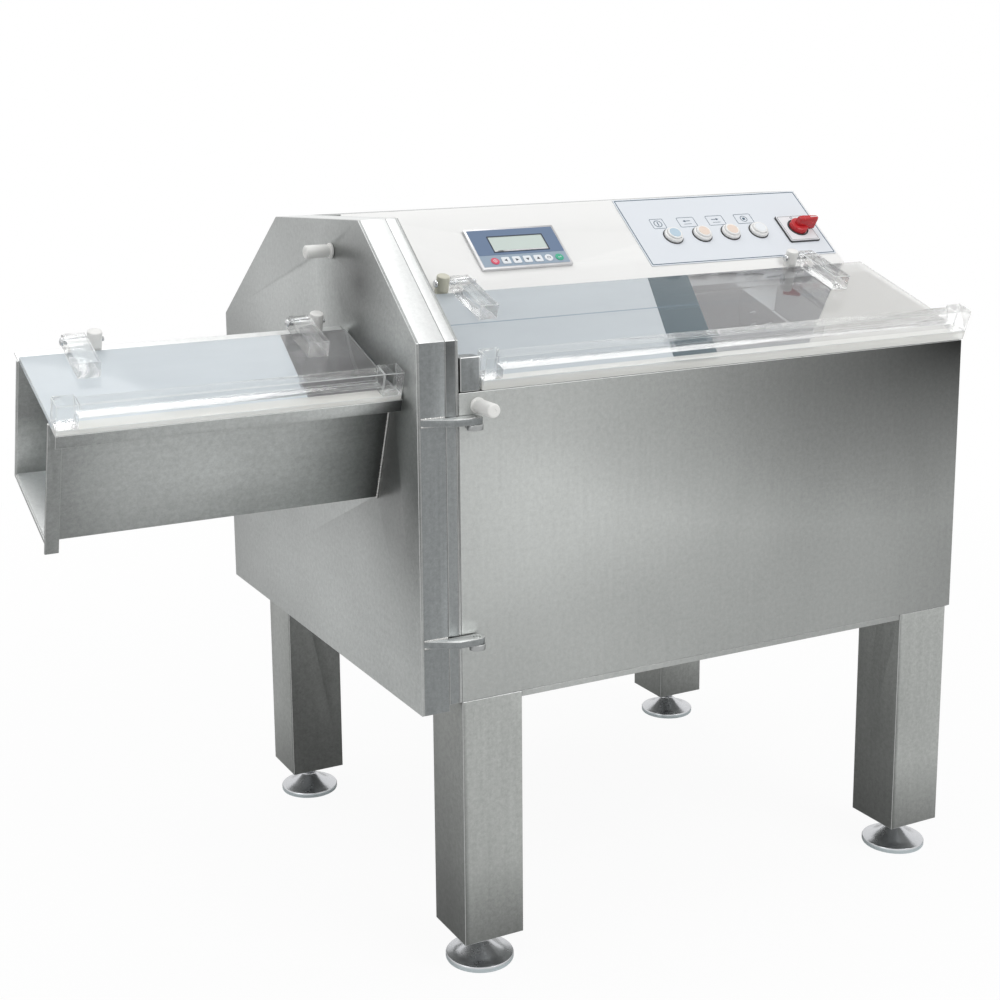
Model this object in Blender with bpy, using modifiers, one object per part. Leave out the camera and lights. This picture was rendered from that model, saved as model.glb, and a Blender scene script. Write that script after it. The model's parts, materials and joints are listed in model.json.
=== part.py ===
"""Frozen meat slicer and rib chopper on four legs.

A stainless cabinet stands on square legs with levelling feet. A tilted channel runs through it along X:
meat lies in the feed trough under a clear lid, a pusher on a ball screw drives it through the knife
frame, a sickle knife cuts it, and the slices leave by the chute on the hinged door.
Metres, +Z up. X runs along the channel, the operator stands on the -Y side.
"""
import math

import bmesh
import bpy
from mathutils import Euler, Matrix

# Fits
touch = 0.0003             # gap between pieces that touch
running = 0.0010           # gap between pieces that move past each other
overrun = 0.0100           # how far a cutter passes the faces it cuts
sheet = 0.0020             # stainless sheet of casings, trough and chute
panel = 0.0025             # sheet of the cabinet's flat panels
fine, medium, coarse = 36, 24, 14   # sides of large, middling and small round pieces

# Cabinet and knife housing, seen along X
body_length = 0.960
body_depth = 0.820
panel_bottom = 0.452
front_top = 0.922
near_shoulder = 1.000
far_shoulder = 0.950
near_crest_y, near_crest_z = 0.195, 1.162
far_crest_y, far_crest_z = 0.540, 1.146
frame_depth = 0.021        # fixed half of the knife housing, along X
door_depth = 0.0455        # hinged half
seam = 0.0005              # slit between the halves
housing_wall = 0.004
door_drop = 0.010          # the door hangs this much lower than the frame
cover_short = 0.030        # the upper cover stops this far before the cabinet's end

# Legs, rails and feet
leg_side = 0.102
leg_wall = 0.003
leg_inset = 0.010          # right legs stand this far in from the cabinet's end
leg_floor = 0.006
foot_height = 0.055
rail_height = 0.015
rail_width = 0.030
rail_inset = 0.025
pad_radius = 0.053
pad_height = 0.008
dish_height = 0.026
dish_neck = 0.013
stem_radius = 0.008
stem_reach = 0.050         # stem inside the leg
foot_nut_radius = 0.0135
foot_nut_height = 0.010

# Tilted channel: u runs up the lid from its near edge, h stands square to it
tilt = math.radians(19.5)
lid_edge_y, lid_edge_z = -0.003, 0.930
lid_width = 0.284
lid_sheet = 0.008
lid_strip = 0.008          # strip under the near edge, both ways
lid_left = 0.038
lid_overhang = 0.002       # lid's right end past the cabinet's
trough_near = 0.083
trough_near_lip = 0.076     # near flange of the trough
trough_width = 0.170
trough_depth = 0.172
trough_lip = 0.032         # far flange of the trough
slot_depth = 0.0265        # pusher slot's middle, below the trough's flange
slot_width = 0.007
slot_margin = 0.088        # from the slot's end to the trough's end plate
slot_spare = 0.007         # slot beyond the arm's travel

# Outfeed chute, measured the same way from its own lid's near edge
chute_edge_y, chute_edge_z = 0.046, 0.912
chute_end = -0.572
chute_lip = 0.038
chute_lip_drop = 0.019
chute_width = 0.180
chute_depth = 0.190
chute_far_lip = 0.025
bar_length = 0.018         # flat bars round the chute's mouth
bar_thick = 0.004
bar_drop = 0.020
chute_lid_width = 0.214

# Lid hinges and handles
axis_height = 0.022        # hinge axis above the lid's underside
axis_past = 0.008          # hinge axis past the lid's far edge
strap_width = 0.032
infeed_strap_length = 0.100
outfeed_strap_length = 0.080
strap_round = 0.011
post_radius = 0.011
post_top = 0.036
bolt_radius = 0.004
bolt_head_radius = 0.0065
bolt_head = 0.004
bolt_tail = 0.014
bolt_stub = 0.003
strap_gap = 0.003          # between post and strap
notch_height = 0.012       # lid's far edge swings under the post's near side
infeed_post_insets = (0.071, 0.156)      # left and right post, from the lid's ends
outfeed_post_insets = (0.110, 0.047)
block_width = 0.031
block_reach = 0.030
block_height = 0.045
bar_side = 0.022
bar_set = 0.002

# Console
console_slope = math.radians(39.3)
console_clear = 0.0029     # console's lower edge past the lid's far edge
console_rise = 0.0045
console_length = 0.196
display_gap = 0.152        # from the display to the button plate
display_low = 0.043
display_width, display_height = 0.172, 0.094
display_rim = 0.006
display_body = 0.032
display_body_inset = 0.006
screen_left, screen_low = 0.036, 0.042
screen_width, screen_height = 0.106, 0.038
screen_sheet = 0.001
plate_margin = 0.004       # from the button plate to the console's right end
plate_low = 0.027
plate_width, plate_height = 0.402, 0.167
plate_sheet = 0.0015
button_inset = 0.079       # first button from the plate's left end
switch_gap = 0.086         # from the last button to the switch
button_row = 0.095
button_count = 4
ring_radius = 0.0145
ring_height = 0.005
barrel_radius = 0.0110
barrel_wall = 0.0022
barrel_depth = 0.030
cap_height = 0.009
button_travel = 0.003
switch_inset = 0.051       # switch from the plate's right end
switch_row = 0.0930
switch_side = 0.064
switch_sheet = 0.004
switch_body_side = 0.048
switch_body_depth = 0.040
knob_radius = 0.017
knob_base = 0.010
knob_height = 0.026
grip_length = 0.042
grip_width = 0.013
spindle_radius = 0.004

# Knife and its drive
knife_y, knife_z = 0.384, 0.799
knife_radius = 0.338
knife_thick = 0.006
knife_clear = 0.003        # between the blade and the frame plate
knife_hub_radius = 0.072
knife_start_radius = 0.096
knife_from, knife_sweep = math.radians(132), math.radians(190)   # hangs at rest by its own weight
clamp_radius = 0.055
clamp_thick = 0.016
shaft_radius = 0.020
shaft_end = 0.140
nose_length = 0.010
bearing_radius = 0.0300
bearing_width = 0.012
bearing_inset = 0.010
housing_radius = 0.044
housing_length = 0.096
flange_radius = 0.072
flange_thick = 0.012
pulley_start = 0.108
pulley_width = 0.024
groove_width = 0.014
belt_width = 0.013
belt_thick = 0.008
knife_pulley_radius = 0.080
motor_pulley_radius = 0.050
groove_depth = 0.012
motor_inset = 0.220        # motor shaft from the rear panel's outer face
motor_z = 0.600
motor_radius = 0.085
motor_start = 0.165
motor_length = 0.230
motor_shaft_radius = 0.012
motor_foot_width = 0.140
motor_foot_length = 0.150
terminal_side = 0.090
terminal_height = 0.030
terminal_sink = 0.020

# Pusher and its drive, in the channel's u and h
pusher_thick = 0.006
pusher_clear = 0.004
pusher_stop = 0.025        # its front face comes this near to the knife frame
pusher_back = 0.045        # and draws back this far from its place at rest
claw_radius = 0.003
claw_length = 0.012
claw_places = (0.25, 0.50, 0.75)     # shares of the pusher's width and height
arm_thick = 0.005
arm_length = 0.075
carriage_start = 0.040     # carriage behind the pusher's front face
carriage_length = 0.070
carriage_height = 0.046
rod_radius = 0.008
screw_radius = 0.008
rod_far = 0.035            # guide rod beyond the trough's far wall
screw_far = 0.067
drive_drop = 0.024         # rod and screw below the carriage's top
carriage_near = 0.020
carriage_far = 0.090
strip_thick = 0.008        # strip that joins the two bearing blocks
block_thick = 0.018
left_block = 0.030
drive_margin = 0.004       # from the feed motor to the trough's end
feed_motor_side = 0.057
feed_motor_length = 0.060

# Door hinges and knobs
pin_x, pin_y = 0.018, -0.014
pin_radius = 0.005
leaf_round = 0.012
leaf_thick = 0.010
leaf_bottoms = (0.547, 0.879)
leaf_vertex = 0.034        # widest place of the leaf, left of the pin
leaf_slim = 0.002          # leaf's stand-off from the frame
knuckle_radius = 0.013
knuckle_height = 0.009
knuckle_web = 0.016
side_knob_x, side_knob_z = 0.030, 0.9022
side_knob_radius = 0.0105
side_knob_length = 0.048
collar_radius = 0.0120
collar_length = 0.005
door_knob_y, door_knob_z = 0.300, 1.108
door_knob_length = 0.045
knob_chamfer = 0.002
knob_stem = 0.006
interlock_width = 0.032
interlock_depth = 0.026
interlock_top = 0.974
interlock_left = 0.003


# Helpers that place outlines and solids

def channel_point(u, h):
    """Y and Z of a place in the feed channel's section."""
    return (lid_edge_y + u * math.cos(tilt) - h * math.sin(tilt),
            lid_edge_z + u * math.sin(tilt) + h * math.cos(tilt))


def console_point(s, h=0.0):
    """Y and Z of a place on the console, s up its slope and h above it."""
    y, z = console_origin
    return (y + s * math.cos(console_slope) - h * math.sin(console_slope),
            z + s * math.sin(console_slope) + h * math.cos(console_slope))


def rectangle(left, right, low, high):
    return [(left, low), (right, low), (right, high), (left, high)]


def circle(radius, sides, centre=(0.0, 0.0)):
    step = 2 * math.pi / sides
    return [(centre[0] + radius * math.cos(i * step), centre[1] + radius * math.sin(i * step))
            for i in range(sides)]


def half_circle(radius, centre, start):
    """Half a turn anticlockwise, from a start angle in degrees."""
    steps = medium // 2
    return [(centre[0] + radius * math.cos(a), centre[1] + radius * math.sin(a))
            for a in [math.radians(start + 180 * i / steps) for i in range(steps + 1)]]


def inset(points, distance):
    """The same convex outline, drawn anticlockwise, moved inwards."""
    lines = []
    for a, b in zip(points, points[1:] + points[:1]):
        length = math.dist(a, b)
        nx, ny = -(b[1] - a[1]) / length, (b[0] - a[0]) / length
        lines.append((nx, ny, nx * a[0] + ny * a[1] + distance))
    result = []
    for (a1, b1, c1), (a2, b2, c2) in zip(lines[-1:] + lines[:-1], lines):
        d = a1 * b2 - a2 * b1
        result.append(((c1 * b2 - c2 * b1) / d, (a1 * c2 - a2 * c1) / d))
    return result


def belt_loop(big, small, span, angle, sides):
    """Outline of a belt over two circles whose centres are span apart in the direction angle."""
    lean = math.acos((big - small) / span)
    end = (span * math.cos(angle), span * math.sin(angle))
    points = []
    for i in range(sides + 1):
        a = angle + lean + (2 * math.pi - 2 * lean) * i / sides
        points.append((big * math.cos(a), big * math.sin(a)))
    for i in range(sides + 1):
        a = angle - lean + 2 * lean * i / sides
        points.append((end[0] + small * math.cos(a), end[1] + small * math.sin(a)))
    return points


def make_material(name, colour, roughness, metallic=0.0, alpha=1.0):
    material = bpy.data.materials.new(name)
    material.use_nodes = True
    shader = material.node_tree.nodes["Principled BSDF"]
    shader.inputs["Base Color"].default_value = (*colour, 1.0)
    shader.inputs["Roughness"].default_value = roughness
    shader.inputs["Metallic"].default_value = metallic
    shader.inputs["Alpha"].default_value = alpha
    return material


def make_empty(name, parent=None, location=(0.0, 0.0, 0.0), slope=0.0):
    empty = bpy.data.objects.new(name, None)
    parts.objects.link(empty)
    empty.parent = parent
    empty.location = location
    empty.rotation_euler = (slope, 0.0, 0.0)
    return empty


def outline_mesh(loops, thickness):
    """A flat outline in X and Y, with any holes, as a closed mesh centred on Z."""
    curve = bpy.data.curves.new("outline", "CURVE")
    curve.dimensions = "2D"
    curve.fill_mode = "BOTH"
    curve.extrude = thickness / 2
    for loop in loops:
        spline = curve.splines.new("POLY")
        spline.points.add(len(loop) - 1)
        for point, (x, y) in zip(spline.points, loop):
            point.co = (x, y, 0.0, 1.0)
        spline.use_cyclic_u = True
    guide = bpy.data.objects.new("outline", curve)
    bpy.context.scene.collection.objects.link(guide)
    graph = bpy.context.evaluated_depsgraph_get()
    mesh = bpy.data.meshes.new_from_object(guide.evaluated_get(graph))
    bpy.data.objects.remove(guide)
    bpy.data.curves.remove(curve)
    bm = bmesh.new()
    bm.from_mesh(mesh)
    bmesh.ops.remove_doubles(bm, verts=bm.verts, dist=touch / 10)
    bmesh.ops.recalc_face_normals(bm, faces=bm.faces)
    bm.to_mesh(mesh)
    bm.free()
    return mesh


def add_mesh(bm, mesh, matrix):
    mesh.transform(matrix)
    bm.from_mesh(mesh)
    bpy.data.meshes.remove(mesh)


def add_section(bm, loops, left, right):
    """An outline in Y and Z, extruded along X."""
    turn = Euler((math.pi / 2, 0.0, math.pi / 2)).to_matrix().to_4x4()
    mesh = outline_mesh(loops, right - left)
    add_mesh(bm, mesh, Matrix.Translation(((left + right) / 2, 0.0, 0.0)) @ turn)


def add_plan(bm, loops, low, high):
    """An outline in X and Y, extruded along Z."""
    mesh = outline_mesh(loops, high - low)
    add_mesh(bm, mesh, Matrix.Translation((0.0, 0.0, (low + high) / 2)))


def add_box(bm, low, high):
    centre = [(a + b) / 2 for a, b in zip(low, high)]
    size = [b - a for a, b in zip(low, high)]
    bmesh.ops.create_cube(bm, size=1.0, matrix=Matrix.Translation(centre) @ Matrix.Diagonal((*size, 1.0)))


def add_rod(bm, axis, start, end, radius, sides, centre=(0.0, 0.0), tip=None):
    """A round bar, or a cone with another radius at its tip, along one axis."""
    turn = {"X": Euler((0.0, math.pi / 2, 0.0)), "Y": Euler((-math.pi / 2, 0.0, 0.0)), "Z": Euler()}[axis]
    middle = (start + end) / 2
    where = {"X": (middle, *centre), "Y": (centre[0], middle, centre[1]), "Z": (*centre, middle)}[axis]
    bmesh.ops.create_cone(bm, cap_ends=True, segments=sides, radius1=radius,
                          radius2=radius if tip is None else tip, depth=abs(end - start),
                          matrix=Matrix.Translation(where) @ turn.to_matrix().to_4x4())


def finish(name, bm, parent, material, location=(0.0, 0.0, 0.0), rotation=(0.0, 0.0, 0.0), smooth=False):
    """Turn the working mesh into a named part of the machine."""
    mesh = bpy.data.meshes.new(name)
    bm.to_mesh(mesh)
    bm.free()
    mesh.materials.append(material)
    part = bpy.data.objects.new(name, mesh)
    parts.objects.link(part)
    part.parent = parent
    part.location = location
    part.rotation_euler = rotation
    if smooth:
        mesh.shade_smooth()
        mesh.set_sharp_from_angle(angle=math.radians(35))
    return part


def box_part(name, low, high, parent, material):
    centre = [(a + b) / 2 for a, b in zip(low, high)]
    bm = bmesh.new()
    add_box(bm, [a - c for a, c in zip(low, centre)], [b - c for b, c in zip(high, centre)])
    return finish(name, bm, parent, material, location=centre)


def section_part(name, loops, left, right, parent, material):
    bm = bmesh.new()
    add_section(bm, loops, left, right)
    return finish(name, bm, parent, material)


def folded_part(name, path, left, right, thickness, parent, material):
    """Sheet folded along a path in Y and Z; the path runs in the sheet's middle."""
    bm = bmesh.new()
    verts = [bm.verts.new((left, y, z)) for y, z in path]
    edges = [bm.edges.new(pair) for pair in zip(verts, verts[1:])]
    made = bmesh.ops.extrude_edge_only(bm, edges=edges)["geom"]
    moved = [item for item in made if isinstance(item, bmesh.types.BMVert)]
    bmesh.ops.translate(bm, verts=moved, vec=(right - left, 0.0, 0.0))
    part = finish(name, bm, parent, material)
    solidify = part.modifiers.new("sheet", "SOLIDIFY")
    solidify.thickness = thickness
    solidify.offset = 0.0
    solidify.use_even_offset = True
    return part


def turned_mesh(profile, sides):
    """A profile of radius and height, from top to bottom on its outer side, turned about Z."""
    bm = bmesh.new()
    closed = profile[0][0] > 0
    verts = [bm.verts.new((r, 0.0, z)) for r, z in profile]
    pairs = list(zip(verts, verts[1:])) + ([(verts[-1], verts[0])] if closed else [])
    for pair in pairs:
        bm.edges.new(pair)
    mesh = bpy.data.meshes.new("turned")
    bm.to_mesh(mesh)
    bm.free()
    guide = bpy.data.objects.new("turned", mesh)
    bpy.context.scene.collection.objects.link(guide)
    screw = guide.modifiers.new("turn", "SCREW")
    screw.steps = screw.render_steps = sides
    screw.use_merge_vertices = True
    screw.merge_threshold = touch / 10
    graph = bpy.context.evaluated_depsgraph_get()
    result = bpy.data.meshes.new_from_object(guide.evaluated_get(graph))
    bpy.data.objects.remove(guide)
    bpy.data.meshes.remove(mesh)
    return result


def add_turned(bm, profile, sides, axis, where):
    turn = {"X": Euler((0.0, math.pi / 2, 0.0)), "Y": Euler((-math.pi / 2, 0.0, 0.0)), "Z": Euler()}[axis]
    add_mesh(bm, turned_mesh(profile, sides), Matrix.Translation(where) @ turn.to_matrix().to_4x4())


def carve(part, bm, operation="DIFFERENCE"):
    """Cut a working mesh out of a part, or join it on, in the part's own parent frame."""
    mesh = bpy.data.meshes.new(part.name + "_cutter")
    bm.to_mesh(mesh)
    bm.free()
    cutter = bpy.data.objects.new(mesh.name, mesh)
    cutters.objects.link(cutter)
    cutter.parent = part.parent
    cutter.hide_render = True
    cutter.display_type = "WIRE"
    boolean = part.modifiers.new(operation.lower(), "BOOLEAN")
    boolean.operation = operation
    boolean.solver = "EXACT"
    boolean.object = cutter


# The housing's outline, its window and the places that the driving sizes give

door_bottom = panel_bottom - door_drop
frame_back = -housing_wall                       # face of the frame plate towards the knife
door_back = -frame_depth - seam                  # open edge of the door
door_front = door_back - door_depth              # door's outer face
mouth_end = chute_end - bar_thick / 2            # the bars stand proud of the chute's end
console_origin = channel_point(lid_width + console_clear, console_rise)
cover_end = body_length - cover_short
lid_right = body_length + lid_overhang
infeed_posts = (lid_left + infeed_post_insets[0], lid_right - infeed_post_insets[1])
outfeed_posts = (chute_end + outfeed_post_insets[0], door_front - strap_gap - outfeed_post_insets[1])
plate_left = cover_end - plate_margin - plate_width
display_left = plate_left - display_gap - display_width
button_first = plate_left + button_inset
button_pitch = (plate_width - button_inset - switch_gap - switch_inset) / (button_count - 1)
switch_x = plate_left + plate_width - switch_inset
slot_stop = cover_end - slot_margin
pusher_x = slot_stop - slot_spare - pusher_back - carriage_length - carriage_start
slot_start = pusher_stop - slot_spare
right_block = cover_end - drive_margin - feed_motor_length - block_thick
motor_y = body_depth - motor_inset
ledge = -lid_strip - touch                       # top of the trough's flanges
trough_floor = ledge - trough_depth              # top of the trough's floor
trough_far = trough_near + trough_width
slot_middle = ledge - slot_depth
slot_low, slot_high = slot_middle - slot_width / 2, slot_middle + slot_width / 2


def housing_outline(bottom):
    return [(0.0, bottom), (body_depth, bottom), (body_depth, far_shoulder), (far_crest_y, far_crest_z),
            (near_crest_y, near_crest_z), (0.0, near_shoulder)]


def make_materials():
    steel = (0.56, 0.56, 0.55)
    return {
        "steel": make_material("brushed_steel", steel, 0.35, 1.0),
        "light_steel": make_material("light_steel", (0.72, 0.72, 0.71), 0.38, 1.0),
        "dark_steel": make_material("machined_steel", (0.42, 0.42, 0.43), 0.30, 1.0),
        "white": make_material("pale_enamel", (0.86, 0.86, 0.85), 0.45),
        "clear": make_material("clear_acrylic", (0.90, 0.93, 0.94), 0.05, 0.0, 0.35),
        "nylon": make_material("white_nylon", (0.88, 0.87, 0.83), 0.45),
        "chrome": make_material("chrome", (0.80, 0.80, 0.81), 0.12, 1.0),
        "plate": make_material("pale_blue_plate", (0.80, 0.84, 0.90), 0.40),
        "bezel": make_material("blue_bezel", (0.14, 0.17, 0.26), 0.35),
        "screen": make_material("green_screen", (0.70, 0.78, 0.68), 0.20),
        "blue": make_material("blue_button", (0.50, 0.66, 0.78), 0.35),
        "peach": make_material("peach_button", (0.86, 0.74, 0.63), 0.35),
        "pearl": make_material("white_button", (0.88, 0.89, 0.90), 0.35),
        "red": make_material("red_knob", (0.62, 0.05, 0.04), 0.35),
        "black": make_material("black_rubber", (0.03, 0.03, 0.03), 0.70),
        "motor": make_material("motor_grey", (0.30, 0.33, 0.36), 0.50),
        "silver": make_material("aluminium", (0.66, 0.66, 0.67), 0.40, 1.0),
    }


def make_legs(machine, looks):
    """Welded base: four hollow square legs, the rails between them and the cabinet's floor."""
    lefts = (0.0, body_length - leg_inset - leg_side)
    nears = (0.0, body_depth - leg_side)
    top = panel_bottom - touch
    corners = [(left, near) for near in nears for left in lefts]
    bm = bmesh.new()
    for left, near in corners:
        add_box(bm, (left, near, foot_height), (left + leg_side, near + leg_side, top))
    legs = finish("leg_frame", bm, machine, looks["steel"])
    hollows = bmesh.new()
    for left, near in corners:
        add_box(hollows, (left + leg_wall, near + leg_wall, foot_height + leg_floor),
                (left + leg_side - leg_wall, near + leg_side - leg_wall, top + overrun))
    carve(legs, hollows)
    centres = [(left + leg_side / 2, near + leg_side / 2) for left, near in corners]
    bores = bmesh.new()
    for centre in centres:
        add_rod(bores, "Z", foot_height - overrun, foot_height + leg_floor + overrun,
                stem_radius + touch, coarse, centre)
    carve(legs, bores)

    rails = bmesh.new()
    low = top - rail_height
    weld = leg_wall / 2
    left, right = lefts[0] + leg_side - weld, lefts[1] + weld
    near, far = nears[0] + leg_side - weld, nears[1] + weld
    for y in (rail_inset, body_depth - rail_inset - rail_width):
        add_box(rails, (left, y, low), (right, y + rail_width, top - weld / 2))
    for x in (lefts[0] + rail_inset, lefts[1] + leg_side - rail_inset - rail_width):
        add_box(rails, (x, near, low), (x + rail_width, far, top - weld / 2))
    carve(legs, rails, "UNION")
    pan = bmesh.new()
    inside = panel + touch
    add_box(pan, (inside, inside, top - weld), (body_length - inside, body_depth - inside, panel_bottom + panel))
    carve(legs, pan, "UNION")
    return centres


def make_feet(machine, looks, centres):
    """Levelling feet: a dished pad, a stem that screws into the leg and a nut."""
    names = ("foot_near_left", "foot_near_right", "foot_far_left", "foot_far_right")
    dish_top = pad_height + dish_height
    nut_low = foot_height - touch - foot_nut_height
    profile = [(0.0, foot_height + leg_floor + stem_reach), (stem_radius, foot_height + leg_floor + stem_reach),
               (stem_radius, dish_top), (dish_neck, dish_top),
               (dish_neck, dish_top - dish_height / 6), (pad_radius / 2, pad_height + dish_height / 3),
               (pad_radius * 0.86, pad_height + dish_height / 8), (pad_radius, pad_height),
               (pad_radius, 0.0), (0.0, 0.0)]
    for name, (x, y) in zip(names, centres):
        axis = make_empty(name + "_axis", machine, (x, y, 0.0))
        bm = bmesh.new()
        add_turned(bm, profile, medium, "Z", (0.0, 0.0, 0.0))
        foot = finish(name, bm, axis, looks["chrome"], smooth=True)
        nut = bmesh.new()
        add_rod(nut, "Z", nut_low, nut_low + foot_nut_height, foot_nut_radius, 6)
        carve(foot, nut, "UNION")


def make_cabinet(machine, looks):
    """Flat panels round the drive, the tilted feed trough and the covers above it."""
    left = touch
    inside = panel + touch
    box_part("front_panel", (left, 0.0, panel_bottom), (body_length, panel, front_top), machine,
             looks["light_steel"])
    box_part("rear_panel", (left, body_depth - panel, panel_bottom), (body_length, body_depth, far_shoulder),
             machine, looks["steel"])

    shelf_near = channel_point(trough_far + trough_lip, ledge)[0] + running
    outline = [(inside, panel_bottom), (body_depth - inside, panel_bottom),
               (body_depth - inside, far_shoulder), (shelf_near, far_shoulder),
               (shelf_near, channel_point(trough_far + trough_lip, ledge - sheet)[1] - running),
               (inside, front_top - running)]
    section_part("end_panel", [outline], body_length - panel, body_length, machine, looks["steel"])
    shelf = bmesh.new()
    add_box(shelf, (cover_end, shelf_near, far_shoulder - sheet),
            (body_length - panel / 2, body_depth - inside, far_shoulder))
    carve(bpy.data.objects["end_panel"], shelf, "UNION")

    middle = sheet / 2
    near, far, low = trough_near - middle, trough_far + middle, trough_floor - middle
    path = [(trough_near - trough_near_lip, ledge - middle), (near, ledge - middle), (near, low), (far, low),
            (far, ledge - middle), (trough_far + trough_lip, ledge - middle)]
    channel = make_empty("channel_frame", machine, (0.0, lid_edge_y, lid_edge_z), tilt)
    trough_right = body_length - inside
    trough = folded_part("feed_trough", path, left, trough_right, sheet, channel, looks["light_steel"])
    slot = bmesh.new()
    add_box(slot, (slot_start, trough_far - overrun, slot_low), (slot_stop, trough_far + overrun, slot_high))
    carve(trough, slot)
    end = bmesh.new()
    add_section(end, [rectangle(near, far, low, ledge - sheet)], cover_end, cover_end + sheet)
    carve(trough, end, "UNION")

    start = console_point(console_length, -sheet)[0] + touch
    path = [(start, console_point(console_length)[1] - middle), (far_crest_y, far_crest_z - middle),
            (body_depth - middle, far_shoulder + sheet)]
    cover = folded_part("rear_cover", path, left, cover_end, sheet, machine, looks["steel"])
    under = -sheet - touch
    low = far_shoulder + touch
    corner = console_point(2 * sheet, under)
    outline = [(corner[0], low), (body_depth - sheet, low), path[2], path[1], (start + sheet, path[0][1]),
               (start + sheet, console_point(console_length - 2 * sheet, under)[1]),
               console_point(console_length - 2 * sheet, under), corner]
    end = bmesh.new()
    add_section(end, [outline], cover_end - sheet - touch, cover_end - touch)
    carve(cover, end, "UNION")
    return channel


def make_knife_frame(machine, looks):
    """Fixed half of the housing: a plate with the feed window, and a rim round it."""
    outline = housing_outline(panel_bottom)
    corners = [(trough_near, trough_floor), (trough_far, trough_floor), (trough_far, ledge), (trough_near, ledge)]
    window = [channel_point(u, h) for u, h in corners]
    hole = circle(housing_radius + touch, fine, (knife_y, knife_z))
    section_part("knife_frame_plate", [outline, window, hole], frame_back, 0.0, machine, looks["steel"])
    section_part("knife_frame_rim", [outline, inset(outline, housing_wall)], -frame_depth,
                 frame_back - touch, machine, looks["steel"])


def make_door(machine, looks):
    """Hinged half of the housing, with the outfeed chute; it turns about the hinge pins."""
    axis = make_empty("door_axis", machine, (pin_x, pin_y, 0.0))
    door = make_empty("door_frame", axis, (-pin_x, -pin_y, 0.0))
    outline = housing_outline(door_bottom)
    corners = [(chute_lip + sheet, sheet - chute_depth), (chute_lip + chute_width - sheet, sheet - chute_depth),
               (chute_lip + chute_width - sheet, -sheet), (chute_lip + sheet, -sheet)]
    window = [(chute_edge_y + u * math.cos(tilt) - h * math.sin(tilt),
               chute_edge_z + u * math.sin(tilt) + h * math.cos(tilt)) for u, h in corners]
    hole = circle(knob_stem + touch, coarse, (door_knob_y, door_knob_z))
    section_part("door_plate", [outline, window, hole], door_front, door_front + housing_wall, door,
                 looks["steel"])
    rim_left = door_front + housing_wall + touch
    rim = section_part("door_rim", [outline, inset(outline, housing_wall)], rim_left, door_back, door,
                       looks["steel"])

    # Leaves reach round the seam to the pins; knuckles on the front panel carry the pins
    weld = housing_wall / 2
    arc = half_circle(leaf_round, (pin_x, pin_y), -90)
    leaf = [(rim_left, weld), (rim_left, 0.0), (pin_x - leaf_vertex, pin_y - leaf_round)] + arc
    leaf += [(door_back - leaf_slim, -leaf_slim), (door_back - leaf_slim, weld)]
    web = [(pin_x - knuckle_web / 2, -touch), (pin_x - knuckle_web / 2, pin_y)]
    web += half_circle(knuckle_radius, (pin_x, pin_y), 180)
    web += [(pin_x + knuckle_web / 2, pin_y), (pin_x + knuckle_web / 2, -touch)]
    for side, low in zip(("bottom", "top"), leaf_bottoms):
        leaves = bmesh.new()
        add_plan(leaves, [leaf, circle(pin_radius + touch, coarse, (pin_x, pin_y))], low, low + leaf_thick)
        carve(rim, leaves, "UNION")
        bm = bmesh.new()
        top = low - touch
        add_plan(bm, [web], top - knuckle_height, top)
        knuckle = finish("hinge_knuckle_" + side, bm, machine, looks["dark_steel"])
        pin = bmesh.new()
        add_rod(pin, "Z", top - knuckle_height / 2, low + leaf_thick + touch, pin_radius, coarse,
                (pin_x, pin_y))
        carve(knuckle, pin, "UNION")

    chute = make_empty("chute_frame", door, (0.0, chute_edge_y, chute_edge_z), tilt)
    middle = sheet / 2
    near, far, low = chute_lip + middle, chute_lip + chute_width - middle, middle - chute_depth
    path = [(middle, -chute_lip_drop), (middle, -middle), (near, -middle), (near, low), (far, low),
            (far, -middle), (far + chute_far_lip, -middle)]
    trough = folded_part("outfeed_chute", path, chute_end, door_front - touch, sheet, chute, looks["steel"])
    near_out, far_out = chute_lip - bar_thick, chute_lip + chute_width + bar_thick
    under = -chute_depth - bar_thick
    outline = [(near_out, -middle), (near_out, -chute_depth - bar_drop), (chute_lip, -chute_depth - bar_drop),
               (chute_lip, under), (far_out, under), (far_out, -middle), (far, -middle), (far, low),
               (near, low), (near, -middle)]
    bars = bmesh.new()
    add_section(bars, [outline], mouth_end, chute_end + bar_length)
    carve(trough, bars, "UNION")
    return axis, door, chute


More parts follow.
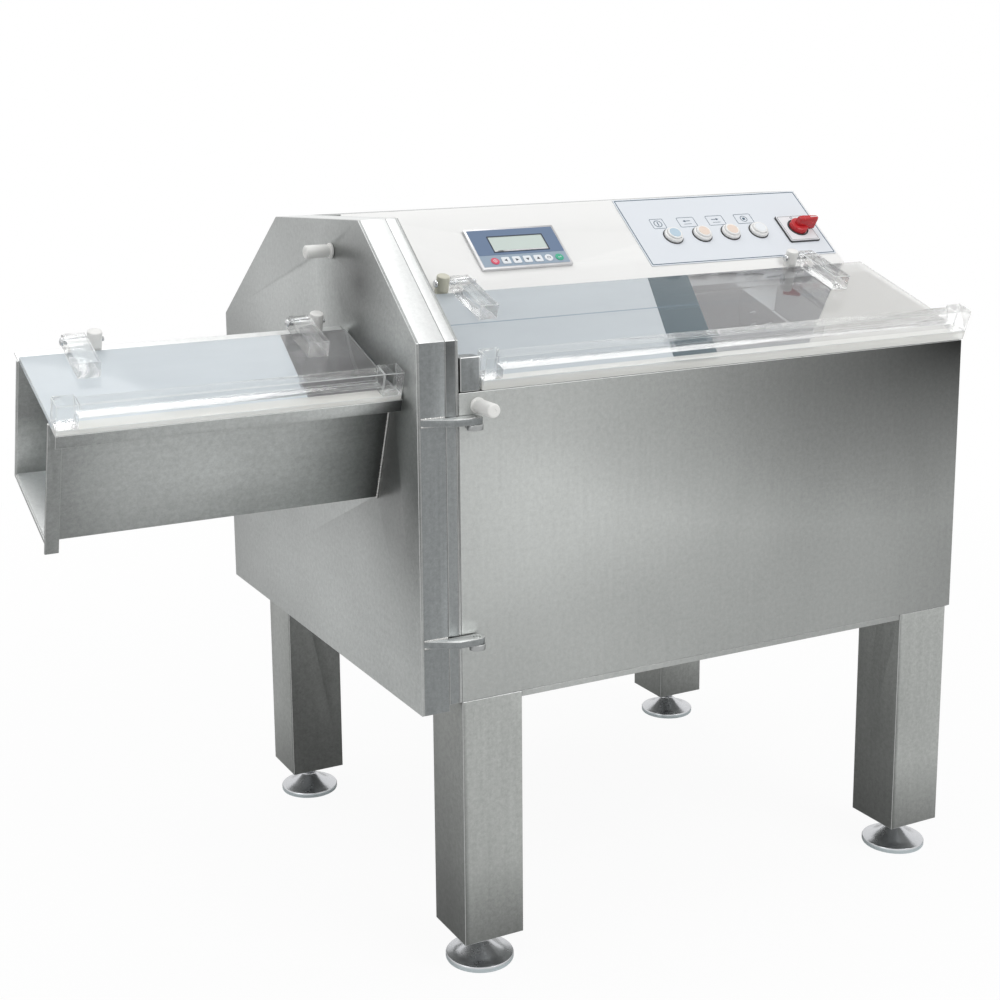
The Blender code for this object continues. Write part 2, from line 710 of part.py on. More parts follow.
def make_lid(name, base, looks, left, right, width, strap_length, posts, side):
    """A clear lid on two straps. Posts and bolts stay on the base; the lid turns about the bolts.

    side is 1 where the straps are right of their posts, and -1 where they are left of them.
    """
    u_axis = width + axis_past
    axis = make_empty(name + "_lid_axis", base, (0.0, u_axis, axis_height))
    lid = make_empty(name + "_lid_frame", axis, (0.0, -u_axis, -axis_height))
    on_console = side > 0
    outline = [(0.0, touch), (width, touch), (width, lid_sheet), (0.0, lid_sheet)]
    if on_console:
        outline = [(0.0, -lid_strip), (lid_strip, -lid_strip), (lid_strip, 0.0), (width, 0.0),
                   (width, lid_sheet), (0.0, lid_sheet)]
    section_part(name + "_lid", [outline], left, right, lid, looks["clear"])

    seat = lid_sheet + touch
    strap_low = axis_height - strap_round
    outline = [(width - strap_length, seat), (width - strap_round, seat), (width, strap_low)]
    outline += half_circle(strap_round, (u_axis, axis_height), -90)
    outline += [(width - strap_length, axis_height + strap_round)]
    hole = circle(bolt_radius + touch, coarse, (u_axis, axis_height))
    for place, post in zip(("left", "right"), posts):
        near = post + side * (post_radius + strap_gap)
        strap_left, strap_right = sorted((near, near + side * strap_width))
        section_part(f"{name}_strap_{place}", [outline, hole], strap_left, strap_right, lid, looks["clear"])
        head = (post - post_radius if on_console else strap_left) - touch
        tail = strap_right + bolt_tail if on_console else post + post_radius + bolt_stub
        profile = [(0.0, tail - head), (bolt_radius, tail - head), (bolt_radius, 0.0),
                   (bolt_head_radius, 0.0), (bolt_head_radius, -bolt_head), (0.0, -bolt_head)]
        bm = bmesh.new()
        add_turned(bm, profile, coarse, "X", (head, u_axis, axis_height))
        finish(f"{name}_bolt_{place}", bm, base, looks["chrome"], smooth=True)
        bm = bmesh.new()
        add_rod(bm, "Z", -post_radius if on_console else touch, post_top, post_radius, medium, (post, u_axis))
        stand = finish(f"{name}_post_{place}", bm, base, looks["nylon"], smooth=True)
        bore = bmesh.new()
        wide = 2 * post_radius
        add_rod(bore, "X", post - wide, post + wide, bolt_radius + touch, coarse, (u_axis, axis_height))
        carve(stand, bore)
        notch = bmesh.new()
        add_box(notch, (post - wide, u_axis - wide, -wide), (post + wide, width + running, notch_height))
        carve(stand, notch)
        if on_console:
            below = bmesh.new()
            add_box(below, (post - wide, -wide, -wide), (post + wide, 2 * wide, touch))
            slope = Matrix.Rotation(console_slope - tilt, 4, "X")
            bmesh.ops.transform(below, verts=below.verts,
                                matrix=Matrix.Translation((0.0, width + console_clear, console_rise)) @ slope)
            carve(stand, below)

    # Handle: a square bar between two blocks on the near edge
    bm = bmesh.new()
    add_box(bm, (left, 0.0, seat), (left + block_width, block_reach, block_height))
    add_box(bm, (right - block_width, 0.0, seat), (right, block_reach, block_height))
    handle = finish(name + "_lid_handle", bm, lid, looks["clear"])
    bar = bmesh.new()
    add_box(bar, (left + block_width / 2, bar_set, block_height - bar_side),
            (right - block_width / 2, bar_set + bar_side, block_height - bar_set / 2))
    carve(handle, bar, "UNION")


def make_console(machine, looks):
    """Sloping console with the display, four push buttons and the rotary switch."""
    console = make_empty("console_frame", machine, (0.0, *console_origin), console_slope)
    box = box_part("console_panel", (touch, 0.0, -sheet), (cover_end, console_length, 0.0), console,
                   looks["white"])
    xs = [button_first + button_pitch * i for i in range(button_count)]
    half_body = switch_body_side / 2
    holes = bmesh.new()
    body_low = (display_left + display_body_inset - touch, display_low + display_body_inset - touch)
    body_high = (display_left + display_width - display_body_inset + touch,
                 display_low + display_height - display_body_inset + touch)
    add_box(holes, (*body_low, -overrun), (*body_high, overrun))
    for x in xs:
        add_rod(holes, "Z", -overrun, overrun, barrel_radius + touch, medium, (x, button_row))
    add_box(holes, (switch_x - half_body - touch, switch_row - half_body - touch, -overrun),
            (switch_x + half_body + touch, switch_row + half_body + touch, overrun))
    carve(box, holes)

    bezel = box_part("hmi_bezel", (display_left, display_low, touch),
                     (display_left + display_width, display_low + display_height, display_rim), console,
                     looks["bezel"])
    body = bmesh.new()
    add_box(body, (body_low[0] + touch, body_low[1] + touch, -display_body),
            (body_high[0] - touch, body_high[1] - touch, display_rim / 2))
    carve(bezel, body, "UNION")
    pocket = bmesh.new()
    x, s = display_left + screen_left, display_low + screen_low
    add_box(pocket, (x, s, display_rim - screen_sheet - touch),
            (x + screen_width, s + screen_height, display_rim + overrun))
    carve(bezel, pocket)
    box_part("hmi_screen", (x + touch, s + touch, display_rim - screen_sheet),
             (x + screen_width - touch, s + screen_height - touch, display_rim), console, looks["screen"])

    # Button plate with four collars; each collar's barrel passes behind the console
    plate_loops = [rectangle(plate_left, plate_left + plate_width, plate_low, plate_low + plate_height)]
    plate_loops += [rectangle(switch_x - half_body - touch, switch_x + half_body + touch,
                              switch_row - half_body - touch, switch_row + half_body + touch)]
    bm = bmesh.new()
    add_plan(bm, plate_loops, touch, plate_sheet)
    plate = finish("button_plate", bm, console, looks["plate"])
    ring_low, ring_top = plate_sheet + touch, plate_sheet + touch + ring_height
    bore = barrel_radius - barrel_wall
    mouth = ring_radius - barrel_wall
    step = button_travel / 3
    collars, pockets = bmesh.new(), bmesh.new()
    for x in xs:
        profile = [(0.0, ring_top), (mouth, ring_top), (ring_radius, ring_top - step),
                   (ring_radius, plate_sheet / 2), (barrel_radius, plate_sheet / 2),
                   (barrel_radius, -barrel_depth), (0.0, -barrel_depth)]
        add_turned(collars, profile, medium, "Z", (x, button_row, 0.0))
        profile = [(0.0, ring_top + overrun), (mouth, ring_top + overrun), (mouth, ring_low),
                   (bore, ring_low), (bore, -barrel_depth - overrun), (0.0, -barrel_depth - overrun)]
        add_turned(pockets, profile, medium, "Z", (x, button_row, 0.0))
    carve(plate, collars, "UNION")
    carve(plate, pockets)
    cap_low = ring_low + button_travel + touch
    cap_top = plate_sheet + cap_height
    cap_radius, stem = mouth - touch, bore - touch
    names = ("button_start", "button_forward", "button_back", "button_stop")
    for name, x, look in zip(names, xs, ("blue", "peach", "peach", "pearl")):
        axis = make_empty(name + "_axis", console, (x, button_row, 0.0))
        profile = [(0.0, cap_top), (cap_radius - step, cap_top), (cap_radius, cap_top - step),
                   (cap_radius, cap_low), (stem, cap_low), (stem, -barrel_depth + touch),
                   (0.0, -barrel_depth + touch)]
        bm = bmesh.new()
        add_turned(bm, profile, medium, "Z", (0.0, 0.0, 0.0))
        finish(name, bm, axis, looks[look], smooth=True)

    half = switch_side / 2
    base_low = plate_sheet + touch
    base_top = base_low + switch_sheet
    base = box_part("switch_plate", (switch_x - half, switch_row - half, base_low),
                    (switch_x + half, switch_row + half, base_top), console, looks["pearl"])
    body = bmesh.new()
    add_box(body, (switch_x - half_body, switch_row - half_body, -switch_body_depth),
            (switch_x + half_body, switch_row + half_body, base_low + switch_sheet / 2))
    carve(base, body, "UNION")
    bore = bmesh.new()
    add_rod(bore, "Z", -switch_body_depth / 2, base_top + overrun, spindle_radius + touch, coarse,
            (switch_x, switch_row))
    carve(base, bore)
    axis = make_empty("switch_axis", console, (switch_x, switch_row, 0.0))
    low = base_top + touch
    profile = [(0.0, low + knob_base), (knob_radius - step, low + knob_base),
               (knob_radius, low + knob_base - step), (knob_radius, low), (spindle_radius, low),
               (spindle_radius, -switch_body_depth / 2 + touch), (0.0, -switch_body_depth / 2 + touch)]
    bm = bmesh.new()
    add_turned(bm, profile, medium, "Z", (0.0, 0.0, 0.0))
    knob = finish("switch_knob", bm, axis, looks["red"], smooth=True)
    grip = bmesh.new()
    add_box(grip, (-knob_radius / 2, -grip_width / 2, low + knob_base / 2),
            (grip_length - knob_radius / 2, grip_width / 2, low + knob_height))
    carve(knob, grip, "UNION")
    return console


def knife_outline():
    """A sickle: its edge spirals out from the hub, and a hollow back runs in again."""
    steps = 26
    points = []
    for i in range(steps + 1):
        share = i / steps
        a = knife_from + knife_sweep * share
        r = knife_start_radius + (knife_radius - knife_start_radius) * share ** 0.8
        points.append((r * math.cos(a), r * math.sin(a)))
    tip = knife_from + knife_sweep
    back = 8
    for i in range(1, back + 1):
        share = i / back
        a = tip - math.radians(14) * share + math.radians(30) * share ** 2
        r = knife_radius + (knife_hub_radius - knife_radius) * share
        points.append((r * math.cos(a), r * math.sin(a)))
    start = tip + math.radians(16)
    turn = knife_from + 2 * math.pi - start
    hub = 14
    for i in range(1, hub):
        a = start + turn * i / hub
        points.append((knife_hub_radius * math.cos(a), knife_hub_radius * math.sin(a)))
    return points


def make_knife(machine, looks):
    """Knife shaft in its bearings, with the blade at one end and the belt pulley at the other."""
    axis = make_empty("knife_axis", machine, (0.0, knife_y, knife_z))
    blade_right = frame_back - knife_clear
    blade_left = blade_right - knife_thick
    bm = bmesh.new()
    add_section(bm, [knife_outline(), circle(shaft_radius + touch, medium)], blade_left, blade_right)
    finish("knife_blade", bm, axis, looks["chrome"])
    clamp_right = blade_left - touch
    clamp_left = clamp_right - clamp_thick
    profile = [(0.0, shaft_end), (shaft_radius, shaft_end), (shaft_radius, clamp_right),
               (clamp_radius, clamp_right), (clamp_radius, clamp_left), (shaft_radius, clamp_left),
               (shaft_radius * 0.7, clamp_left - nose_length), (0.0, clamp_left - nose_length)]
    bm = bmesh.new()
    add_turned(bm, profile, medium, "X", (0.0, 0.0, 0.0))
    finish("knife_shaft", bm, axis, looks["dark_steel"], smooth=True)

    # Housing: tube through the frame plate, flange against its back, a ball bearing near each end
    tube_left = frame_back + touch
    tube_right = tube_left + housing_length
    seat = bearing_radius + touch
    profile = [(seat, tube_right), (housing_radius, tube_right), (housing_radius, touch + flange_thick),
               (flange_radius, touch + flange_thick), (flange_radius, touch), (housing_radius, touch),
               (housing_radius, tube_left), (seat, tube_left)]
    bm = bmesh.new()
    add_turned(bm, profile, fine, "X", (0.0, knife_y, knife_z))
    finish("knife_bearing_housing", bm, machine, looks["dark_steel"], smooth=True)
    bore, spacer = shaft_radius + touch, shaft_radius + touch + bearing_inset / 3
    left, right = tube_left + bearing_inset, tube_right - bearing_inset
    profile = [(bore, right), (bearing_radius, right), (bearing_radius, right - bearing_width),
               (spacer, right - bearing_width), (spacer, left + bearing_width),
               (bearing_radius, left + bearing_width), (bearing_radius, left), (bore, left)]
    bm = bmesh.new()
    add_turned(bm, profile, medium, "X", (0.0, knife_y, knife_z))
    finish("knife_bearings", bm, machine, looks["chrome"], smooth=True)

    bm = bmesh.new()
    add_turned(bm, pulley_profile(knife_pulley_radius, shaft_radius + touch), fine, "X", (0.0, 0.0, 0.0))
    finish("knife_pulley", bm, axis, looks["silver"], smooth=True)


def pulley_profile(radius, bore):
    """One square groove; a bore of nothing gives a solid pulley."""
    left, right = pulley_start, pulley_start + pulley_width
    groove_left = left + (pulley_width - groove_width) / 2
    groove_right = groove_left + groove_width
    root = radius - groove_depth
    profile = [(radius, right), (radius, groove_right), (root, groove_right), (root, groove_left),
               (radius, groove_left), (radius, left)]
    return [(bore, right)] + profile + [(bore, left)]


def make_main_drive(machine, looks):
    """Foot-mounted motor on the base pan, its pulley and the belt up to the knife shaft."""
    axis = make_empty("motor_axis", machine, (0.0, motor_y, motor_z))
    bm = bmesh.new()
    add_rod(bm, "X", motor_start, motor_start + motor_length, motor_radius, fine, (motor_y, motor_z))
    motor = finish("main_motor", bm, machine, looks["motor"], smooth=True)
    foot = bmesh.new()
    foot_left = motor_start + (motor_length - motor_foot_length) / 2
    add_box(foot, (foot_left, motor_y - motor_foot_width / 2, panel_bottom + panel + touch),
            (foot_left + motor_foot_length, motor_y + motor_foot_width / 2, motor_z - motor_radius / 2))
    carve(motor, foot, "UNION")
    box = bmesh.new()
    box_left = motor_start + (motor_length - terminal_side) / 2
    add_box(box, (box_left, motor_y - terminal_side / 2, motor_z + motor_radius - terminal_sink),
            (box_left + terminal_side, motor_y + terminal_side / 2, motor_z + motor_radius + terminal_height))
    carve(motor, box, "UNION")

    gap = motor_start - touch
    profile = pulley_profile(motor_pulley_radius, 0.0)[1:-1]
    right = pulley_start + pulley_width
    profile = [(0.0, gap), (motor_shaft_radius, gap), (motor_shaft_radius, right)] + profile
    profile += [(0.0, pulley_start)]
    bm = bmesh.new()
    add_turned(bm, profile, medium, "X", (0.0, 0.0, 0.0))
    finish("motor_pulley", bm, axis, looks["silver"], smooth=True)

    span = math.dist((knife_y, knife_z), (motor_y, motor_z))
    angle = math.atan2(motor_z - knife_z, motor_y - knife_y)
    big = knife_pulley_radius - groove_depth + touch
    small = motor_pulley_radius - groove_depth + touch
    loops = [belt_loop(big + belt_thick, small + belt_thick, span, angle, medium),
             belt_loop(big, small, span, angle, medium)]
    loops = [[(knife_y + y, knife_z + z) for y, z in loop] for loop in loops]
    left = pulley_start + (pulley_width - belt_width) / 2
    section_part("drive_belt", loops, left, left + belt_width, machine, looks["black"])


def make_pusher(channel, looks):
    """Clawed pusher plate, its arm through the slot, the carriage, rods, ball screw and motor."""
    axis = make_empty("pusher_axis", channel, (pusher_x, 0.0, 0.0))
    left, right = trough_near + pusher_clear, trough_far - pusher_clear
    low, high = trough_floor + pusher_clear, slot_low
    wall_back = trough_far + sheet
    carriage_top = slot_middle - arm_thick / 2 - touch
    drive_h = carriage_top - drive_drop
    rod_u, screw_u = wall_back + rod_far, wall_back + screw_far
    carriage_u = (wall_back + carriage_near, wall_back + carriage_far)
    carriage_end = carriage_start + carriage_length

    bm = bmesh.new()
    add_box(bm, (0.0, left, low), (pusher_thick, right, high))
    plate = finish("pusher_plate", bm, axis, looks["light_steel"])
    arm = bmesh.new()
    add_plan(arm, [[(0.0, (left + right) / 2), (pusher_thick, (left + right) / 2), (arm_length, right),
                    (carriage_end, wall_back + running), (carriage_end, carriage_u[1]),
                    (carriage_start, carriage_u[1]), (carriage_start, wall_back + running), (0.0, right)]],
             slot_middle - arm_thick / 2, slot_middle + arm_thick / 2)
    carve(plate, arm, "UNION")
    web = bmesh.new()
    add_box(web, (0.0, left, slot_low - arm_thick), (pusher_thick, right, slot_middle))
    carve(plate, web, "UNION")
    claws = bmesh.new()
    for across in claw_places:
        for up in claw_places:
            add_rod(claws, "X", -claw_length, pusher_thick / 2, claw_radius / 4, coarse,
                    (left + (right - left) * across, low + (high - low) * up), tip=claw_radius)
    carve(plate, claws, "UNION")

    bm = bmesh.new()
    add_box(bm, (carriage_start, carriage_u[0], carriage_top - carriage_height),
            (carriage_end, carriage_u[1], carriage_top))
    carriage = finish("pusher_carriage", bm, axis, looks["silver"])
    bores = bmesh.new()
    for u, radius in ((rod_u, rod_radius), (screw_u, screw_radius)):
        add_rod(bores, "X", carriage_start - overrun, carriage_end + overrun, radius + touch, coarse,
                (u, drive_h))
    carve(carriage, bores)

    # Two bearing blocks on one strip, on the trough's far wall, hold the guide rod and the screw
    low_h, near_u = carriage_top - carriage_height, wall_back + touch
    bm = bmesh.new()
    for start in (left_block, right_block):
        add_box(bm, (start, near_u, low_h), (start + block_thick, carriage_u[1], carriage_top))
    bracket = finish("screw_bracket", bm, channel, looks["silver"])
    strip = bmesh.new()
    add_box(strip, (left_block + block_thick / 2, near_u + touch, low_h + touch),
            (right_block + block_thick / 2, near_u + strip_thick, carriage_top - touch))
    carve(bracket, strip, "UNION")
    bores = bmesh.new()
    for u, radius in ((rod_u, rod_radius), (screw_u, screw_radius)):
        add_rod(bores, "X", left_block - overrun, right_block + block_thick + overrun, radius + touch,
                coarse, (u, drive_h))
    carve(bracket, bores)
    bm = bmesh.new()
    add_rod(bm, "X", left_block, right_block + block_thick, rod_radius, coarse, (rod_u, drive_h))
    finish("guide_rod", bm, channel, looks["chrome"], smooth=True)
    screw_axis = make_empty("screw_axis", channel, (0.0, screw_u, drive_h))
    bm = bmesh.new()
    add_rod(bm, "X", left_block, right_block + block_thick, screw_radius, coarse)
    finish("ball_screw", bm, screw_axis, looks["dark_steel"], smooth=True)
    half = feed_motor_side / 2
    face = right_block + block_thick + touch
    section_part("feed_motor", [rectangle(screw_u - half, screw_u + half, drive_h - half, drive_h + half)],
                 face, face + feed_motor_length, channel, looks["black"])


def make_knobs(machine, door, looks):
    """White nylon knobs on the front panel and the door, and the lid's interlock switch."""
    axis = make_empty("side_knob_axis", machine, (side_knob_x, 0.0, side_knob_z))
    tip = collar_length + side_knob_length
    profile = [(0.0, tip), (side_knob_radius - knob_chamfer, tip), (side_knob_radius, tip - knob_chamfer),
               (side_knob_radius, collar_length), (collar_radius, collar_length), (collar_radius, touch),
               (0.0, touch)]
    bm = bmesh.new()
    turn = Euler((math.pi / 2, 0.0, 0.0)).to_matrix().to_4x4()
    add_mesh(bm, turned_mesh(profile, medium), turn)
    finish("side_knob", bm, axis, looks["nylon"], smooth=True)

    axis = make_empty("door_knob_axis", door, (door_front, door_knob_y, door_knob_z))
    profile = [(0.0, door_knob_length), (side_knob_radius - knob_chamfer, door_knob_length),
               (side_knob_radius, door_knob_length - knob_chamfer), (side_knob_radius, collar_length),
               (collar_radius, collar_length), (collar_radius, touch), (knob_stem, touch),
               (knob_stem, -housing_wall), (0.0, -housing_wall)]
    bm = bmesh.new()
    turn = Euler((0.0, -math.pi / 2, 0.0)).to_matrix().to_4x4()
    add_mesh(bm, turned_mesh(profile, medium), turn)
    finish("door_knob", bm, axis, looks["nylon"], smooth=True)

    def flange_top(y):
        return (ledge + touch + (y - lid_edge_y) * math.sin(tilt)) / math.cos(tilt) + lid_edge_z

    outline = [(0.0, max(front_top, flange_top(0.0)) + touch), (interlock_depth, flange_top(interlock_depth)),
               (interlock_depth, interlock_top), (0.0, interlock_top)]
    section_part("lid_interlock_switch", [outline], interlock_left, interlock_left + interlock_width,
                 machine, looks["steel"])


for old in list(bpy.data.objects):
    bpy.data.objects.remove(old, do_unlink=True)
parts = bpy.data.collections.new("meat_cutting_machine")
cutters = bpy.data.collections.new("cutters")
for collection in (parts, cutters):
    bpy.context.scene.collection.children.link(collection)

# The machine's origin is under the middle of its own box
farthest_near = -collar_length - side_knob_length
centre_x = (mouth_end + lid_right) / 2
farthest_back = body_depth - leg_side / 2 + pad_radius
centre_y = (farthest_near + farthest_back) / 2
machine_frame = make_empty("machine", None, (-centre_x, -centre_y, 0.0))
finishes = make_materials()
leg_centres = make_legs(machine_frame, finishes)
make_feet(machine_frame, finishes, leg_centres)
channel_frame = make_cabinet(machine_frame, finishes)
make_knife_frame(machine_frame, finishes)
door_axis, door_frame, chute_frame = make_door(machine_frame, finishes)
make_lid("infeed", channel_frame, finishes, lid_left, lid_right, lid_width, infeed_strap_length, infeed_posts, 1)
make_lid("outfeed", chute_frame, finishes, chute_end, door_front - strap_gap, chute_lid_width, outfeed_strap_length,
         outfeed_posts, -1)
make_console(machine_frame, finishes)
make_knife(machine_frame, finishes)
make_main_drive(machine_frame, finishes)
make_pusher(channel_frame, finishes)
make_knobs(machine_frame, door_frame, finishes)
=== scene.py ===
import json
import math

import bmesh
import bpy
from mathutils import Matrix, Vector

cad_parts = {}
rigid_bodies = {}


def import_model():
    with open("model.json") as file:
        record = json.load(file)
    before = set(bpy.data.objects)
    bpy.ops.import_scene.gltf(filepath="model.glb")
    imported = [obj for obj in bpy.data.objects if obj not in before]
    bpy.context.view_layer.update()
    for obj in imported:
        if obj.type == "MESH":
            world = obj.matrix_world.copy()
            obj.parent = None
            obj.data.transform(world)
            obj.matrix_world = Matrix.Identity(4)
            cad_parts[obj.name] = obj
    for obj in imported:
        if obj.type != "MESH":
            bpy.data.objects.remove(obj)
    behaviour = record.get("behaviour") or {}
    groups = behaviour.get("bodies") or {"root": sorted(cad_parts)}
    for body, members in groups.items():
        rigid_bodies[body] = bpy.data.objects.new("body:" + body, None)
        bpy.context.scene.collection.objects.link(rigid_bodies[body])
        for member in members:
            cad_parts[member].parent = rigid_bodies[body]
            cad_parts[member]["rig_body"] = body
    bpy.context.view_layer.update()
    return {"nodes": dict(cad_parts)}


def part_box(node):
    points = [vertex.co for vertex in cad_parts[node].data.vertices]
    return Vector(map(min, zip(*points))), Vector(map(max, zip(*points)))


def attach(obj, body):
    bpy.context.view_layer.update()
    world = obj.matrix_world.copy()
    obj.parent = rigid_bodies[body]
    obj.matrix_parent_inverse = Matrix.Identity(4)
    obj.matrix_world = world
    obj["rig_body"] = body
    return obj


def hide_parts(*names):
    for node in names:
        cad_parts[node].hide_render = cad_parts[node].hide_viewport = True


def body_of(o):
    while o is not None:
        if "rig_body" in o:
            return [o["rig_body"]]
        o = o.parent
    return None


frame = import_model()
print("frame loaded:", len(frame["nodes"]), "nodes")

# The four measuring frames of the machine: cabinet, feed lid, outfeed lid and console
cabinetFrame = Matrix.Translation((-0.194, -0.3845, 0.0))
lidFrame = Matrix.Translation((-0.194, -0.3875, 0.93)) @ Matrix.Rotation(math.radians(19.5), 4, "X")
chuteFrame = Matrix.Translation((-0.194, -0.3385, 0.912)) @ Matrix.Rotation(math.radians(19.5), 4, "X")
consoleFrame = Matrix.Translation((-0.194, -0.118558, 1.030011)) @ Matrix.Rotation(math.radians(39.3), 4, "X")


def newObject(name, data):    # linked to the scene
    made = bpy.data.objects.new(name, data)
    bpy.context.scene.collection.objects.link(made)
    return made


# Camera, floor, world and lamps

viewSettings = {"lens": 58.05, "sensor": 36.0, "place": (-1.2337, -2.4166, 1.3511), "turn": 0.4548,
                "dip": 0.1895, "roll": 0.0162, "shiftX": 0.07, "shiftY": -0.1}


def makeCamera(s):
    level = math.cos(s["dip"])
    forward = Vector((math.sin(s["turn"]) * level, math.cos(s["turn"]) * level, -math.sin(s["dip"])))
    side = Vector((math.cos(s["turn"]), -math.sin(s["turn"]), 0))
    down = forward.cross(side)
    across = side * math.cos(s["roll"]) + down * math.sin(s["roll"])
    under = down * math.cos(s["roll"]) - side * math.sin(s["roll"])
    data = bpy.data.cameras.new("photoView")
    data.lens, data.sensor_width = s["lens"], s["sensor"]
    data.shift_x, data.shift_y = s["shiftX"], s["shiftY"]
    camera = newObject("photoView", data)
    camera.matrix_world = (Matrix.Translation(s["place"])
                           @ Matrix((across, -under, -forward)).transposed().to_4x4())
    bpy.context.scene.camera = camera


makeCamera(viewSettings)


class Wire:    # one output socket, with the sums that the finishes use
    def __init__(self, finish, socket):
        self.finish, self.socket = finish, socket

    def maths(self, operation, first, second):
        return self.finish.node("ShaderNodeMath", {"operation": operation}, {0: first, 1: second})

    def __add__(self, other):
        return self.maths("ADD", self, other)

    def __sub__(self, other):
        return self.maths("SUBTRACT", self, other)

    def __rsub__(self, other):
        return self.maths("SUBTRACT", other, self)

    def __mul__(self, other):
        return self.maths("MULTIPLY", self, other)

    def over(self, limit):
        return self.maths("GREATER_THAN", self, limit)

    def beside(self, label):    # another output of the same node
        return Wire(self.finish, self.socket.node.outputs[label])

    __radd__, __rmul__ = __add__, __mul__


class Maker:    # a node tree, with short ways to add nodes
    def feed(self, made, sockets):
        for key, value in sockets.items():
            if isinstance(value, Wire):
                self.tree.links.new(value.socket, made.inputs[key])
            else:
                made.inputs[key].default_value = value

    def node(self, kind, settings=None, sockets=None, output=0):
        made = self.tree.nodes.new(kind)
        for key, value in (settings or {}).items():
            setattr(made, key, value)
        self.feed(made, sockets or {})
        return Wire(self, made.outputs[output])


class Finish(Maker):    # a node material, or the world
    def __init__(self, name, owner=None):
        self.owner = owner or bpy.data.materials.new(name)
        self.owner.use_nodes = True
        self.tree = self.owner.node_tree
        self.shader = self.tree.nodes.get("Principled BSDF") or self.tree.nodes.get("Background")

    def place(self, scale=(1.0, 1.0, 1.0)):
        where = self.node("ShaderNodeTexCoord", output="Object")
        return self.node("ShaderNodeMapping", {}, {"Vector": where, "Scale": scale})

    def noise(self, name, stretch=(1.0, 1.0, 1.0)):
        scale, detail, roughness = noises[name]
        return self.node("ShaderNodeTexNoise", {}, {"Vector": self.place(stretch), "Scale": scale,
                                                    "Detail": detail, "Roughness": roughness})

    def axis(self, place, letter):
        return self.node("ShaderNodeSeparateXYZ", {}, {0: place}, output=letter)

    def spot(self, centre, reach):    # 1 at the centre, fading to 0 at the reach along each axis
        where = self.node("ShaderNodeTexCoord", output="Object")
        near = self.node("ShaderNodeMapping", {}, {"Vector": where, "Scale": [1 / r for r in reach],
                                                   "Location": [-c / r for c, r in zip(centre, reach)]})
        return self.node("ShaderNodeTexGradient", {"gradient_type": "SPHERICAL"}, {"Vector": near}, output=1)

    def rays(self, *kinds):    # 1 for rays of these kinds, else 0
        found = [self.node("ShaderNodeLightPath", output=f"Is {kind} Ray") for kind in kinds]
        return sum(found[1:], found[0])

    def blend(self, factor, low, high):
        low, high = [shade if isinstance(shade, Wire) else (*shade, 1.0) for shade in (low, high)]
        return self.node("ShaderNodeMix", {"data_type": "RGBA"}, {0: factor, 6: low, 7: high}, output=2)

    def relief(self, height, strength, distance):
        return self.node("ShaderNodeBump", {}, {"Height": height, "Strength": strength, "Distance": distance})

    def cover(self, share, layer):    # mixes another shader over the main one
        under = Wire(self, self.shader.outputs[0])
        mixed = self.node("ShaderNodeMixShader", {}, {0: share, 1: under, 2: layer})
        self.feed(self.tree.nodes["Material Output"], {"Surface": mixed})

    def close(self, **sockets):
        names = {"colour": "Base Color", "rough": "Roughness", "metal": "Metallic", "normal": "Normal",
                 "alpha": "Alpha", "coat": "Coat Weight", "clear": "Transmission Weight", "ior": "IOR",
                 "specular": "Specular IOR Level"}
        self.feed(self.shader, {names[key]: value for key, value in sockets.items()})
        return self.owner


noises = {    # scale, detail, roughness
    "paper": (35.0, 3.0, 0.5), "strokes": (1.0, 5.0, 0.62), "clouds": (3.1, 2.0, 0.5),
    "mottle": (130.0, 5.0, 0.85), "scuffs": (1.0, 4.0, 0.6), "spots": (24.0, 2.0, 0.5),
    "peel": (420.0, 2.0, 0.5), "dust": (6.0, 3.0, 0.6), "pores": (900.0, 2.0, 0.5), "haze": (45.0, 3.0, 0.6),
    "smears": (1.0, 4.0, 0.65)}


def toned(tone, share):    # at most white
    return tuple(min(1.0, c * share) for c in tone)


stageSettings = {"floorTone": 0.86, "floorMottle": 0.04, "floorSize": 9.0, "floorCells": 8, "floorWhite": 0.93,
                 "floorShine": 0.06, "shadowCentre": (0.25, 0.0, 0.0), "shadowReach": (3.0, 3.0, 3.0),
                 "worldFill": 0.5, "aim": (0.1, 0.0, 0.75),
                 "lamps": {"key": (79.0, (1.6, -3.4, 3.9), 2.6), "top": (43.0, (-0.6, 0.4, 4.2), 3.4),
                           "side": (12.0, (-3.8, -1.2, 1.7), 2.2)}}    # power, place, size


